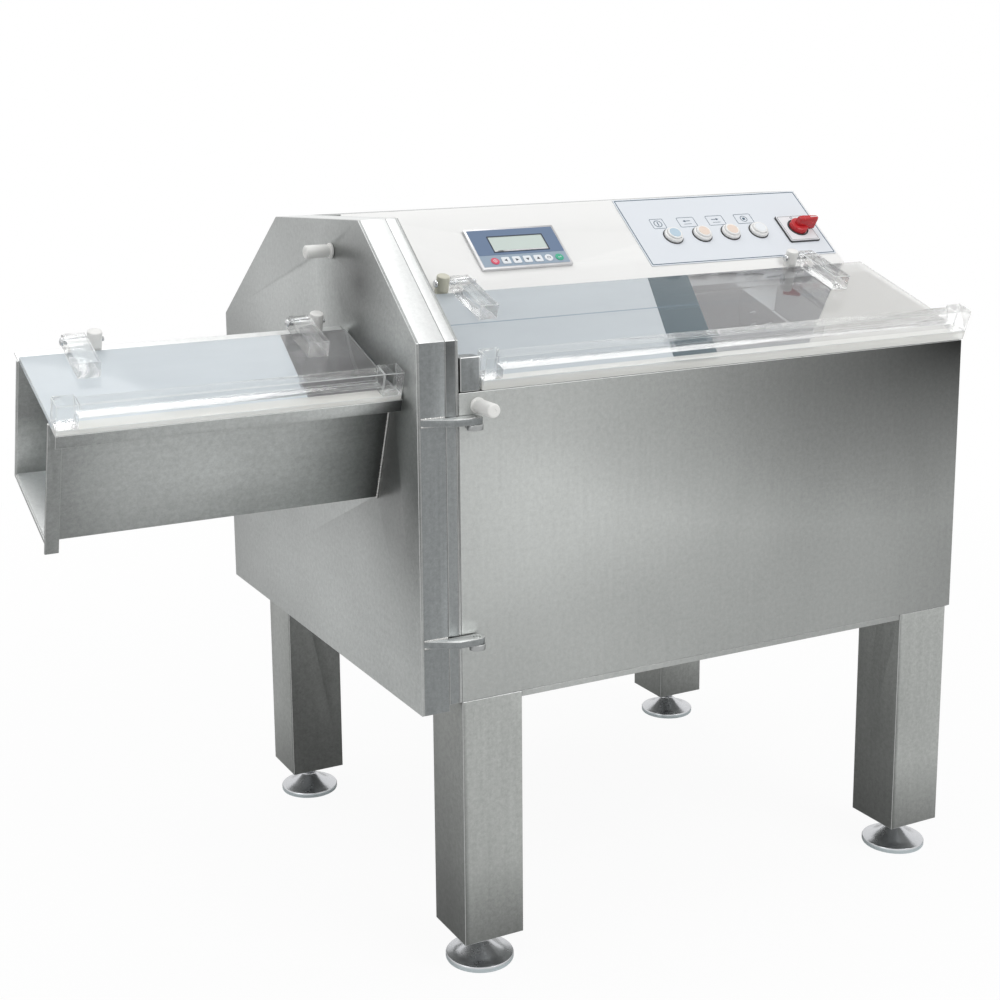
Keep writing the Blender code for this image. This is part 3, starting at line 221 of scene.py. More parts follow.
def makeStage(s):
    bm = bmesh.new()
    bmesh.ops.create_grid(bm, x_segments=s["floorCells"], y_segments=s["floorCells"], size=s["floorSize"])
    mesh = bpy.data.meshes.new("studioFloor")
    bm.to_mesh(mesh)
    bm.free()
    floor = newObject("studioFloor", mesh)
    paper = Finish("paperFloor")
    grain = paper.noise("paper")
    tone = s["floorTone"]
    paper.close(colour=paper.blend(grain, [tone] * 3, [tone + s["floorMottle"]] * 3), rough=0.9 + grain * 0.05,
                specular=0.1)
    near = paper.spot(s["shadowCentre"], s["shadowReach"])    # the shadow shows near the machine only
    seen = (paper.rays("Camera", "Transmission") * (1 - near * (1 - s["floorWhite"]))
            + paper.rays("Glossy") * s["floorShine"])
    paper.cover(seen, paper.node("ShaderNodeEmission", {}, {"Color": (1.0, 1.0, 1.0, 1.0), "Strength": 1.0}))
    mesh.materials.append(paper.owner)

    world = bpy.data.worlds.new("studio")
    bpy.context.scene.world = world
    sky = Finish("studio", world)
    fill = s["worldFill"]
    strength = fill + sky.rays("Camera", "Glossy", "Transmission") * (1.0 - fill)
    sky.feed(sky.shader, {"Color": (1.0, 1.0, 1.0, 1.0), "Strength": strength})

    for key, (power, place, size) in s["lamps"].items():
        data = bpy.data.lights.new(key + "Lamp", "AREA")
        data.shape, data.size, data.energy = "DISK", size, power
        lamp = newObject(key + "Lamp", data)
        lamp.location = place
        lamp.rotation_euler = (Vector(s["aim"]) - lamp.location).to_track_quat("-Z", "Y").to_euler()
    bpy.context.scene.view_settings.view_transform = "Standard"


makeStage(stageSettings)
print("camera, floor and lamps made")


# Finishes

steelMix = {"clouds": 0.7, "mottle": 0.9, "middle": 0.8, "spread": 2.4, "strokeRough": 0.14,
            "cloudRough": 0.1, "depth": (0.12, 0.0006)}


def brushedSteel(name, tone, grain, rough, contrast, lines):
    steel, m = Finish(name), steelMix
    strokes = steel.noise("strokes", grain)
    clouds = steel.noise("clouds")
    mottle = steel.noise("mottle")
    grey = strokes * lines + clouds * (m["clouds"] - lines) + mottle * m["mottle"]
    share = (grey - m["middle"]) * m["spread"] + 0.5
    low, high = toned(tone, 1 - contrast), toned(tone, 1 + contrast)
    colour = steel.blend(share, low, high)
    # painted shade and painted reflection: patches of the tone made darker or lighter
    for centre, reach, level in paintedSteelShade.get(name, ()):
        shadePatch = steel.blend(share, toned(low, level), toned(high, level))
        colour = steel.blend(steel.spot(centre, reach), colour, shadePatch)
    rough = rough + (strokes - 0.5) * m["strokeRough"] + (clouds - 0.5) * m["cloudRough"]
    return steel.close(colour=colour, metal=1.0, rough=rough,
                       normal=steel.relief(strokes * 0.5 + mottle * 0.5, *m["depth"]))


def turnedMetal(name, tone, rough):
    steel = Finish(name)
    scuffs = steel.noise("scuffs", (40.0, 40.0, 140.0))
    spots = steel.noise("spots")
    return steel.close(colour=steel.blend(spots * 0.6 + scuffs * 0.4, toned(tone, 0.86), toned(tone, 1.1)),
                       metal=1.0, rough=rough + (scuffs - 0.5) * 0.12,
                       normal=steel.relief(scuffs, 0.06, 0.0004))


def satinPaint(name, tone, rough, peel=0.05, contrast=0.025, coat=0.0, alpha=1.0):
    paint = Finish(name)
    peelNoise = paint.noise("peel")
    dust = paint.noise("dust")
    return paint.close(colour=paint.blend(dust, toned(tone, 1 - contrast), toned(tone, 1 + contrast)),
                       rough=rough + (dust - 0.5) * 0.12, normal=paint.relief(peelNoise, peel, 0.0003),
                       coat=coat, metal=0.0, alpha=alpha)


def mouldedPlastic(name, tone, rough):
    plastic = Finish(name)
    pores = plastic.noise("pores")
    haze = plastic.noise("haze")
    return plastic.close(colour=plastic.blend(haze, toned(tone, 0.94), toned(tone, 1.05)), metal=0.0,
                         rough=rough + (haze - 0.5) * 0.14, normal=plastic.relief(pores, 0.08, 0.0002))


acrylicParts = {"smears": (9.0, 26.0, 26.0), "lit": 0.86, "paintLit": 0.5}


def clearAcrylic(name, tint, bend=1.49, solid=1.0, viewPaint=None):    # where the painted areas end, for a layer of painted reflection, shade and light over the sheet
    sheet, m = Finish(name), acrylicParts
    smears = sheet.noise("smears", m["smears"])
    lit = sheet.rays("Shadow", "Diffuse")    # lets light through to what is under the sheet
    sheet.close(colour=sheet.blend(smears, toned(tint, 0.97), tint), rough=0.015 + smears * 0.03,
                clear=1.0, ior=bend, metal=0.0, alpha=solid - lit * (m["lit"] * solid))
    if viewPaint is None:
        return sheet.owner
    # a layer over the sheet paints what shows through it: painted reflection over the trough, a dark band of
    # painted shade over its far wall, a dim grey haze of painted shade past the band
    f, place = throughPaintSettings, sheet.place()
    across, along = sheet.axis(place, "X"), sheet.axis(place, "Y")
    edge = across - along * viewPaint["lean"]
    past, beyond = edge.over(viewPaint["end"]), edge.over(viewPaint["bandEnd"])
    paper = sheet.blend(smears, toned(f["dark"], viewPaint["tone"]), toned(f["light"], viewPaint["tone"]))
    shade = sheet.blend(beyond, sheet.blend(past, paper, f["band"]), f["haze"])
    cover = f["cover"] + past * (f["bandCover"] - f["cover"]) + beyond * (f["hazeCover"] - f["bandCover"])
    if "crease" in viewPaint:    # painted shade along the trough's fold, and painted light on the end past the trough
        crease, half = viewPaint["crease"], f["creaseHalf"]
        crease = along.over(crease - half) * (1 - along.over(crease + half))
        ending = (across - along * viewPaint["endLean"]).over(viewPaint["brightEnd"])
        shade = sheet.blend(ending, sheet.blend(crease * f["creaseShare"], shade, f["line"]), f["bright"])
        cover = cover + ending * (f["brightCover"] - f["hazeCover"])
    front = 1 - along.over(viewPaint["front"])    # a pale strip under the handle bar
    shade = sheet.blend(front, shade, f["strip"])
    cover = cover + front * (f["stripCover"] - cover)
    layer = sheet.node("ShaderNodeBsdfPrincipled", {}, {
        "Base Color": shade, "Roughness": 0.1 + smears * 0.06, "Specular IOR Level": 0.5})
    sheet.cover(cover * (1 - lit * m["paintLit"]), layer)
    return sheet.owner


# colours of the lids' painted layer: painted reflection, a dark band and a grey haze of painted shade, a
# painted fold line, painted light past the trough's end and a pale strip
throughPaintSettings = {
    "dark": (0.58, 0.63, 0.67), "light": (0.64, 0.695, 0.73), "cover": 0.62, "band": (0.06, 0.105, 0.13),
    "bandCover": 0.72, "haze": (0.34, 0.335, 0.345), "hazeCover": 0.26, "line": (0.16, 0.25, 0.33),
    "creaseHalf": 0.0018, "creaseShare": 0.6, "bright": (0.76, 0.75, 0.72), "brightCover": 0.46,
    "strip": (0.88, 0.88, 0.84), "stripCover": 0.58}

paintedSteelShade = {    # painted shade and painted reflection: soft darker or brighter patches of the tone; centre, reach, share of the tone there
    "panelSteel": (
        ((0.95, -0.3845, 0.48), (0.95, 1.0, 0.6), 0.66), ((-0.02, -0.3845, 0.8), (0.36, 1.0, 0.24), 1.3),
        ((0.8, -0.3845, 0.93), (0.98, 1.0, 0.31), 0.0)),
    # door: painted shade beside the chute, and painted reflections
    "doorSteel": (
        ((-0.261, -0.4, 0.78), (1.0, 0.26, 0.34), 0.4), ((-0.261, -0.19, 1.07), (1.0, 0.17, 0.14), 0.22),
        ((-0.261, 0.24, 1.0), (1.0, 0.2, 0.16), 1.15), ((-0.261, 0.44, 0.6), (1.0, 0.12, 0.3), 0.8),
        ((-0.261, 0.0, 0.53), (1.0, 0.55, 0.2), 1.22)),
    "chuteSteel": (
        ((-0.24, -0.27, 0.85), (0.105, 3.0, 3.0), 0.0), ((-0.8, -0.27, 0.82), (0.14, 3.0, 3.0), 0.6),
        ((-0.52, -0.27, 0.82), (0.22, 1.0, 0.12), 1.25), ((-0.37, -0.27, 0.8), (0.1, 3.0, 0.24), 1.45),
        ((-0.76, -0.085, 0.88), (0.12, 0.02, 0.25), 1.5)),
    # legs: painted shade towards the floor and on the faces that mirror the shaded floor under the machine
    "legSteel": (
        ((0.3, 0.0, 0.02), (40.0, 40.0, 0.16), 0.45), ((-0.194, -0.334, 0.0), (0.008, 1.0, 0.75), 0.35),
        ((0.654, -0.334, 0.0), (0.008, 1.0, 0.75), 0.3), ((-0.143, 0.333, 0.1), (1.0, 0.008, 1.5), 0.36)),
    "frameSteel": (((-0.206, -0.3845, 0.99), (1.0, 0.1, 0.12), 0.45),)}

upright, lengthwise = (150.0, 150.0, 5.0), (5.0, 140.0, 140.0)    # grain of the brushed sheets
# where the painted reflection, shade and light on each lid end
lidThroughPaint = {"end": 0.363, "bandEnd": 0.445, "lean": 0.477, "tone": 1.0, "front": -0.377, "crease": -0.2245,
           "brightEnd": 0.8607, "endLean": 1.1}
chuteThroughPaint = {"end": -0.349, "bandEnd": -0.349, "lean": 0.165, "tone": 1.18, "front": -0.321}
looks = (
    (brushedSteel, {    # tone, grain, roughness, contrast, lines
        "panelSteel": ((0.475, 0.49, 0.478), (130.0, 130.0, 5.0), 0.4, 0.13, 0.2),
        "doorSteel": ((0.455, 0.47, 0.463), (120.0, 5.0, 120.0), 0.4, 0.17, 0.2),
        # the door rim and knife frame rim: darker copies of the same stainless, painted shade
        "rimSteel": ((0.26, 0.275, 0.278), upright, 0.36, 0.2, 0.35),
        "frameSteel": ((0.28, 0.295, 0.297), upright, 0.36, 0.18, 0.35),
        # the lighter copy of the stainless for faces that look up: painted light
        "crestSteel": ((0.7, 0.71, 0.705), (120.0, 12.0, 12.0), 0.42, 0.08, 0.2),
        "legSteel": ((0.455, 0.47, 0.455), (160.0, 160.0, 6.0), 0.36, 0.2, 0.25),
        "chuteSteel": ((0.4, 0.415, 0.408), lengthwise, 0.38, 0.2, 0.25),
        "troughSteel": ((0.52, 0.53, 0.535), lengthwise, 0.36, 0.12, 0.3),
        "coverSteel": ((0.46, 0.47, 0.465), lengthwise, 0.42, 0.06, 0.25),
        # the rounded edges' steel: lighter and smoother, polish and painted highlight
        "edgeSteel": ((0.52, 0.53, 0.525), (30.0, 30.0, 30.0), 0.3, 0.12, 0.3)}),
    (turnedMetal, {    # tone, roughness
        "beadSteel": ((0.5, 0.5, 0.49), 0.34), "leafSteel": ((0.42, 0.43, 0.43), 0.36),
        "machinedSteel": ((0.46, 0.46, 0.47), 0.3), "chromePlate": ((0.58, 0.59, 0.6), 0.17),
        "dishMetal": ((0.62, 0.63, 0.65), 0.26), "padMetal": ((0.62, 0.68, 0.7), 0.34),
        "milledAluminium": ((0.66, 0.66, 0.67), 0.36)}),
    (satinPaint, {    # tone, roughness, peel, contrast, coat, cover
        "consoleEnamel": ((0.84, 0.84, 0.83), 0.36, 0.04, 0.02),
        "plateEnamel": ((0.72, 0.755, 0.8), 0.34, 0.03, 0.015),
        "inkBlue": ((0.03, 0.075, 0.12), 0.4, 0.02), "inkDark": ((0.03, 0.04, 0.06), 0.4, 0.02),
        "bezelBlue": ((0.13, 0.19, 0.3), 0.3, 0.03), "keyStrip": ((0.3, 0.375, 0.46), 0.34, 0.03),
        "screenGlass": ((0.56, 0.64, 0.6), 0.14, 0.0, 0.03, 0.4),
        "motorPaint": ((0.13, 0.16, 0.19), 0.46, 0.18, 0.06),
        # the acrylic's rounded edges: a pale, partly clear colour, painted highlight
        "acrylicEdge": ((0.8, 0.82, 0.82), 0.25, 0.0, 0.05, 0.0, 0.55)}),
    (mouldedPlastic, {    # tone, roughness
        "keyWhite": ((0.78, 0.81, 0.84), 0.34), "keyRed": ((0.68, 0.08, 0.14), 0.34),
        "keyGreen": ((0.05, 0.4, 0.25), 0.34), "nylonWhite": ((0.84, 0.84, 0.82), 0.4),
        "nylonCream": ((0.6, 0.59, 0.49), 0.44), "capBlue": ((0.47, 0.6, 0.7), 0.26),
        "capPeach": ((0.8, 0.67, 0.58), 0.26), "capPearl": ((0.8, 0.83, 0.86), 0.26),
        "collarWhite": ((0.84, 0.84, 0.83), 0.28), "switchRed": ((0.5, 0.012, 0.018), 0.26),
        "switchGrey": ((0.78, 0.79, 0.81), 0.36), "rubberBlack": ((0.03, 0.03, 0.032), 0.62)}),
    (clearAcrylic, {    # tint, bend, cover, painted view
        "lidAcrylic": ((0.95, 0.975, 0.98), 1.49, 1.0, lidThroughPaint),
        "chuteAcrylic": ((0.95, 0.975, 0.98), 1.49, 1.0, chuteThroughPaint),
        "barAcrylic": ((0.9, 0.905, 0.9), 1.25, 0.62)}))
finishes = {name: make(name, *look) for make, group in looks for name, look in group.items()}
print("finishes made:", len(finishes))


# Ways to make a piece

shapeSettings = {
    "merge": 0.00002, "spinMerge": 0.000005, "flat": math.radians(0.8), "bevelSteps": 2,
    "bevelAngle": math.radians(32), "sharpAngle": math.radians(35), "crestUp": 0.3, "crestBack": 0.1}


def nodeShape(node):    # a merged copy of a CAD solid
    bm = bmesh.new()
    bm.from_mesh(frame["nodes"][node].data)
    bmesh.ops.remove_doubles(bm, verts=bm.verts, dist=shapeSettings["merge"])
    bmesh.ops.dissolve_limit(bm, angle_limit=shapeSettings["flat"], verts=bm.verts, edges=bm.edges)
    for face in bm.faces:
        face.material_index = 0
    return bm


def addPiece(name, bm, dress, node=None, bevel=None, where=None, edge=None, body="root"):
    s = shapeSettings
    if "crestSteel" in dress:    # faces that look up, but not backward, take the lighter copy of the steel: painted light from above
        bm.normal_update()
        for face in bm.faces:
            face.material_index = int(face.normal.z > s["crestUp"] and face.normal.y < s["crestBack"])
    mesh = bpy.data.meshes.new(name)
    if where is not None:
        bmesh.ops.transform(bm, matrix=where, verts=bm.verts)
    bm.to_mesh(mesh)
    bm.free()
    for finish in dress:
        mesh.materials.append(finishes[finish])
    piece = newObject(name, mesh)
    mesh.shade_smooth()
    if bevel:
        rounding = piece.modifiers.new("rounding", "BEVEL")
        rounding.width, rounding.segments = bevel, s["bevelSteps"]
        rounding.limit_method, rounding.angle_limit = "ANGLE", s["bevelAngle"]
        rounding.harden_normals = True
        rounding.miter_outer = "MITER_ARC"
        if edge:
            mesh.materials.append(finishes[edge])
            rounding.material = len(mesh.materials) - 1
    else:
        mesh.set_sharp_from_angle(angle=s["sharpAngle"])
    body = body_of(frame["nodes"][node])[0] if node else body
    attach(piece, body)
    if node:
        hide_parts(node)


def addRows(bm, rows, material=0, ring=False):    # joins outlines at their heights; a ring has no end faces
    loops = [[bm.verts.new((x, y, z)) for x, y in outline] for outline, z in rows]
    faces = [] if ring else [bm.faces.new(loops[0][::-1]), bm.faces.new(loops[-1])]
    for a, b in zip(loops, loops[1:] + loops[:1] if ring else loops[1:]):
        for i in range(len(a)):
            j = (i + 1) % len(a)
            faces.append(bm.faces.new((a[i], a[j], b[j], b[i])))
    for face in faces:
        face.material_index = material


def addPrism(bm, outline, low, high, material=0):
    addRows(bm, ((outline, low), (outline, high)), material)


def addRing(bm, outer, inner, low, high, material=0):    # between two outlines of equal count
    addRows(bm, ((outer, low), (outer, high), (inner, high), (inner, low)), material, True)


def roundOutline(radius, sides, x=0.0, y=0.0, start=0.0):
    return [(x + radius * math.cos(start + 2 * math.pi * i / sides),
             y + radius * math.sin(start + 2 * math.pi * i / sides)) for i in range(sides)]


def boxOutline(box, corner=0.0, steps=4):    # a box is its left, right, near and far edge
    left, right, near, far = box
    if not corner:
        return [(left, near), (right, near), (right, far), (left, far)]
    points = []
    for x, y, start in ((right - corner, near + corner, -90), (right - corner, far - corner, 0),
                        (left + corner, far - corner, 90), (left + corner, near + corner, 180)):
        for i in range(steps + 1):
            a = math.radians(start + 90 * i / steps)
            points.append((x + corner * math.cos(a), y + corner * math.sin(a)))
    return points


def around(x, y, wide, tall):
    return x - wide, x + wide, y - tall, y + tall


def grown(box, by):
    return box[0] - by, box[1] + by, box[2] - by, box[3] + by


def moved(box, x, y):
    return box[0] + x, box[1] + x, box[2] + y, box[3] + y


def addPlate(bm, box, low, high, material=0, corner=0.0):
    addPrism(bm, boxOutline(box, corner), low, high, material)


def addFrame(bm, box, wide, low, high, material=0, corners=(0.0, 0.0), steps=4):    # a border inside a box
    addRing(bm, boxOutline(box, corners[0], steps), boxOutline(grown(box, -wide), corners[1], steps), low, high,
            material)


def addHoop(bm, x, y, radii, low, high, material=0, sides=28):
    outer, inner = [roundOutline(radius, sides, x, y) for radius in radii]
    addRing(bm, outer, inner, low, high, material)


def threaded(low, high, radius, depth, pitch):    # profile points of a thread
    points = []
    while low < high:
        points += [(radius - depth, low), (radius, low + pitch / 2)]
        low += pitch
    return points


def addTurned(bm, profile, sides, where=None, material=0, bands=()):
    shape = bmesh.new()    # a profile of radius and height, turned about Z; bands give lower faces a material
    verts = [shape.verts.new((r, 0.0, z)) for r, z in profile]
    edges = [shape.edges.new(pair) for pair in zip(verts, verts[1:])]
    bmesh.ops.spin(shape, geom=verts + edges, axis=(0, 0, 1), cent=(0, 0, 0), angle=2 * math.pi, steps=sides)
    bmesh.ops.remove_doubles(shape, verts=shape.verts, dist=shapeSettings["spinMerge"])
    bmesh.ops.recalc_face_normals(shape, faces=shape.faces)
    for face in shape.faces:
        height = face.calc_center_median().z
        face.material_index = next((index for top, index in bands if height < top), material)
    if where is not None:
        bmesh.ops.transform(shape, matrix=where, verts=shape.verts)
    mesh = bpy.data.meshes.new("passing")
    shape.to_mesh(mesh)
    shape.free()
    bm.from_mesh(mesh)
    bpy.data.meshes.remove(mesh)


def turnTo(axis):
    degrees, about = {"X": (90, "Y"), "-X": (-90, "Y"), "-Y": (90, "X")}[axis]
    return Matrix.Rotation(math.radians(degrees), 4, about)


# Sheet metal and heavy parts keep the solids' own shape, with rounded edges in a lighter, smoother steel:
# polish and painted highlight

plainParts = {    # finish, slot: nodes with their edge radius
    ("panelSteel", "stainless_light"): {"front_panel": 0.0008},
    ("doorSteel", "stainless"): {"rear_panel": 0.0008, "knife_frame_plate": 0.0008, "end_panel": 0.0007,
                                 "door_plate": 0.0007},
    ("coverSteel", "stainless"): {"rear_cover": 0.0006},
    ("legSteel", "stainless"): {"leg_frame": 0.0012},
    ("troughSteel", "stainless_light"): {"feed_trough": 0.0006, "pusher_plate": 0.0005},
    ("frameSteel", "stainless"): {"knife_frame_rim": 0.0007},
    ("rimSteel", "stainless"): {"door_rim": 0.0007, "lid_interlock_switch": 0.0015},
    ("chuteSteel", "stainless"): {"outfeed_chute": 0.0006},
    ("consoleEnamel", "pale_enamel"): {"console_panel": 0.0005},
    ("leafSteel", "machined_steel"): {"hinge_knuckle_top": 0.0012, "hinge_knuckle_bottom": 0.0012},
    ("lidAcrylic", "clear_acrylic"): {"infeed_lid": 0.0009},
    ("chuteAcrylic", "clear_acrylic"): {"outfeed_lid": 0.0009},
    ("barAcrylic", "clear_acrylic"): {
        "infeed_lid_handle": 0.0016, "infeed_strap_left": 0.0012, "infeed_strap_right": 0.0012,
        "outfeed_lid_handle": 0.0016, "outfeed_strap_left": 0.0012, "outfeed_strap_right": 0.0012},
    ("milledAluminium", "aluminium"): {"pusher_carriage": 0.0015, "screw_bracket": 0.0012,
                                       "knife_pulley": 0.001, "motor_pulley": 0.001},
    ("chromePlate", "chrome"): {"knife_blade": 0.0012, "knife_bearings": 0.0006, "guide_rod": 0.0008},
    ("machinedSteel", "machined_steel"): {"knife_shaft": 0.001, "knife_bearing_housing": 0.0012},
    ("motorPaint", "motor_paint"): {"main_motor": 0.003, "feed_motor": 0.0025},
    ("rubberBlack", "black_rubber"): {"drive_belt": 0.001},
}
ownNames = {"lid_interlock_switch": "interlockBlock", "infeed_lid_handle": "infeedHandle",
            "outfeed_lid_handle": "outfeedHandle"}    # other pieces take the node's name
# acrylic edges take the pale painted highlight; steel edges take the lighter edge steel
edgeLooks = {"clear_acrylic": "acrylicEdge", "pale_enamel": None, "motor_paint": None, "black_rubber": None}
for (finish, slot), nodes in plainParts.items():
    for node, radius in nodes.items():
        first, *others = node.split("_")
        name = ownNames.get(node, first + "".join(word.capitalize() for word in others))
        # the rims and the chute take the lighter copy on their upward faces: painted light
        crest = ["crestSteel"] if node in ("door_rim", "knife_frame_rim", "outfeed_chute") else []
        addPiece(name, nodeShape(node), [finish] + crest, node, radius,
                 edge=edgeLooks.get(slot, "edgeSteel"))
lipParts = {"box": (-0.0915, 0.6535, -0.3837, -0.3815), "low": 0.4425, "top": 0.4517, "edge": 0.0006}
lip = bmesh.new()    # the floor's turned edge, just under the front panel
addPlate(lip, lipParts["box"], lipParts["low"], lipParts["top"])
addPiece("frontLip", lip, ["panelSteel"], None, lipParts["edge"], edge="edgeSteel")
print("sheet metal and heavy parts dressed")


# Levelling feet: pale pad, chromed dish, threaded stem and a nut

footParts = {    # profiles are pairs of radius and height
    "pad": [(0.0, 0.0), (0.051, 0.0), (0.0532, 0.0008), (0.054, 0.0026), (0.054, 0.0081), (0.053, 0.0099),
            (0.051, 0.0105), (0.0486, 0.0111)], "padBand": 0.0085,
    "slope": (0.0, 0.12, 0.25, 0.4, 0.55, 0.7, 0.84, 0.94, 1.0), "slopeFrom": (0.04644, 0.0117),
    "slopeTo": (0.0135, 0.0317), "slopeBend": 1.5, "neck": [(0.013, 0.0332), (0.012, 0.034), (0.008, 0.034)],
    "thread": (0.0348, 0.0442, 0.008, 0.0008, 0.0018),
    "stem": [(0.0076, 0.0448), (0.0076, 0.11), (0.0064, 0.111), (0.0, 0.111)], "sides": 64, "edge": 0.0006,
    "nut": (0.0448, 0.0546), "nutRadius": 0.0135, "nutTurn": 0.3, "nutSlim": 0.997,
    "places": {"near_left": (0.051, 0.051), "near_right": (0.899, 0.051),
               "far_left": (0.051, 0.769), "far_right": (0.899, 0.769)}}


def makeFoot(key, spot, s):
    (wide, low), (slim, high) = s["slopeFrom"], s["slopeTo"]    # hollow slope up to the neck
    slope = [(wide + (slim - wide) * share, low + (high - low) * share ** s["slopeBend"])
             for share in s["slope"]]
    bm = bmesh.new()
    addTurned(bm, s["pad"] + slope + s["neck"] + threaded(*s["thread"]) + s["stem"], s["sides"],
              bands=((s["padBand"], 1),))
    hexagon = [(x * s["nutSlim"], y) for x, y in roundOutline(s["nutRadius"], 6, start=s["nutTurn"])]
    addPrism(bm, hexagon, *s["nut"])
    addPiece("foot." + key, bm, ["dishMetal", "padMetal"], "foot_" + key, s["edge"],
             cabinetFrame @ Matrix.Translation((*spot, 0.0)))


for key, spot in footParts["places"].items():
    makeFoot(key, spot, footParts)
print("feet made")


# Nylon posts with their bolts, and the two nylon knobs

postParts = {
    "radius": 0.011, "axis": 0.022, "past": 0.008, "notch": 0.01205, "flat": 0.001, "footTop": 0.001,
    "profile": [(0.011, 0.012), (0.011, 0.0121), (0.011, 0.015), (0.0107, 0.022), (0.0109, 0.033),
                (0.0104, 0.0348), (0.0088, 0.0358), (0.006, 0.036), (0.0, 0.036)], "sides": 48, "edge": 0.0004,
    "slope": 0.361, "slopeAt": (0.0029, 0.0049), "gap": 0.003, "strap": 0.032, "shy": 0.0003,
    "tails": (0.014, 0.003), "boltSides": 32, "boltEdge": 0.0003, "bolt": 0.004,
    "boltHead": [(0.0, -0.004), (0.003, -0.004), (0.0052, -0.0034), (0.0062, -0.0022), (0.0065, -0.0006),
                 (0.0065, 0.0), (0.004, 0.0)], "boltEnd": (0.0031, 0.0),
    "thread": (0.004, 0.0005, 0.001), "threadEnds": (0.01, 0.0096, 0.0012), "nut": (0.0064, 0.0006, 0.0048),
    "feed": {"node": "infeed", "frame": lidFrame, "width": 0.284, "side": 1, "low": -0.0085,
             "posts": {"left": 0.109, "right": 0.806}},
    "out": {"node": "outfeed", "frame": chuteFrame, "width": 0.214, "side": -1, "low": 0.0003,
            "posts": {"left": -0.462, "right": -0.117}}}


def makePost(kind, place, x, s):
    t = s[kind]
    u, r, console = t["width"] + s["past"], s["radius"], t["side"] > 0
    bm = bmesh.new()
    addTurned(bm, [(0.0, t["low"]), (r, t["low"])] + s["profile"], s["sides"])
    for vert in bm.verts:
        if vert.co.z <= s["notch"]:    # the lid's far edge swings under the near side
            vert.co.y = max(vert.co.y, s["flat"] - s["past"])
        if console and vert.co.z < s["footTop"]:    # foot follows the console's slope
            vert.co.z = s["slopeAt"][1] + (vert.co.y + s["past"] - s["slopeAt"][0]) * s["slope"]
    finish = "nylonCream" if (console and place == "left") else "nylonWhite"
    addPiece(f"{kind}Post.{place}", bm, [finish], f"{t['node']}_post_{place}", s["edge"],
             t["frame"] @ Matrix.Translation((x, u, 0.0)))

    near = x + t["side"] * (r + s["gap"])
    strapLeft, strapRight = sorted((near, near + t["side"] * s["strap"]))
    head = (x - r if console else strapLeft) - s["shy"]
    tail = (strapRight + s["tails"][0] if console else x + r + s["tails"][1]) - s["shy"]
    plain, first, last = [tail - head - short for short in s["threadEnds"]]
    bolt = bmesh.new()
    addTurned(bolt, s["boltHead"] + [(s["bolt"], plain)] + threaded(first, last, *s["thread"])
              + [(radius, tail - head) for radius in s["boltEnd"]], s["boltSides"])
    if console:    # a nut outside the strap keeps it on the bolt
        radius, gap, high = s["nut"]
        start = strapRight + gap - head
        addPrism(bolt, roundOutline(radius, 6), start, start + high)
    addPiece(f"{kind}Bolt.{place}", bolt, ["chromePlate"], f"{t['node']}_bolt_{place}", s["boltEdge"],
             t["frame"] @ Matrix.Translation((head, u, s["axis"])) @ turnTo("X"))


for kind in ("feed", "out"):
    for place, x in postParts[kind]["posts"].items():
        makePost(kind, place, x, postParts)

knobParts = {
    "collar": [(0.0114, 0.0003), (0.012, 0.001), (0.012, 0.004), (0.0112, 0.005), (0.0091, 0.0051),
               (0.0091, 0.0066), (0.0101, 0.0076), (0.0105, 0.011)], "radius": 0.0105, "round": 0.003,
    "roundSteps": 5, "dimple": ((0.0032, 0.0), (0.0026, -0.0007), (0.0, -0.0007)), "sides": 56,
    "side": {"length": 0.053, "at": (0.03, 0.0, 0.9022), "axis": "-Y", "stub": [(0.0, 0.0003)]},
    "door": {"length": 0.045, "at": (-0.067, 0.3, 1.108), "axis": "-X",
             "stub": [(0.0, -0.004), (0.006, -0.004), (0.006, 0.0003)]}}


def makeKnob(key, s):
    t, r, curve, end = s[key], s["radius"], s["round"], s[key]["length"]
    profile = t["stub"] + s["collar"]
    for i in range(s["roundSteps"] + 1):
        a = math.radians(90 * i / s["roundSteps"])
        profile.append((r - curve * (1 - math.cos(a)), end - curve * (1 - math.sin(a))))
    bm = bmesh.new()
    addTurned(bm, profile + [(radius, end + up) for radius, up in s["dimple"]], s["sides"])
    addPiece(key + "Knob", bm, ["nylonWhite"], key + "_knob", None,
             cabinetFrame @ Matrix.Translation(t["at"]) @ turnTo(t["axis"]))


for key in ("side", "door"):
    makeKnob(key, knobParts)
print("posts, bolts and knobs made")


# Display: aluminium frame, printed face, liquid crystal and seven keys

displayParts = {
    "frameEdge": 0.0007, "faceEdge": 0.0001, "glassEdge": 0.0002, "keySides": 32, "ringSides": 24,
    "left": 0.2, "low": 0.043, "width": 0.172, "height": 0.094, "top": 0.006, "face": 0.0003, "rim": 0.004,
    "band": 0.0305, "screen": (0.236, 0.342, 0.0795, 0.117), "corner": 0.0015, "screenCorner": 0.001,
    "lift": 0.00005, "split": 0.0003, "border": (0.0006, 0.002, 0.0005), "glass": (0.0004, 0.0009, 0.0008),
    "keyRow": 0.0592, "keyFirst": 0.2285, "keyStep": 0.0205, "key": 0.0076, "keyHigh": 0.0012,
    "keyCorner": 0.0022, "dome": (0.0004, 0.0001, 0.6), "looks": (1, 0, 0, 0, 0, 0, 2),
    "marks": (None, 180, 0, -90, 90, None, None), "mark": 0.48, "print": 0.0002, "stopRing": (0.0034, 0.0026),
    "stopBar": (0.0004, 0.0018), "stopHigh": 0.00025,
    "returnBars": ((-0.0016, 0.003, -0.0012, -0.0004), (0.0022, 0.003, -0.0004, 0.002)),
    "returnTip": (-0.002, -0.0008, 0.0016), "page": (0.003, 0.002), "pageLine": 0.0006}
arrowShare = {"back": -0.55, "half": 0.85}


def arrowOutline(x, y, size, direction):
    back, half = arrowShare["back"] * size, arrowShare["half"] * size
    c, s = math.cos(math.radians(direction)), math.sin(math.radians(direction))
    return [(x + a * c - b * s, y + a * s + b * c) for a, b in ((size, 0.0), (back, half), (back, -half))]


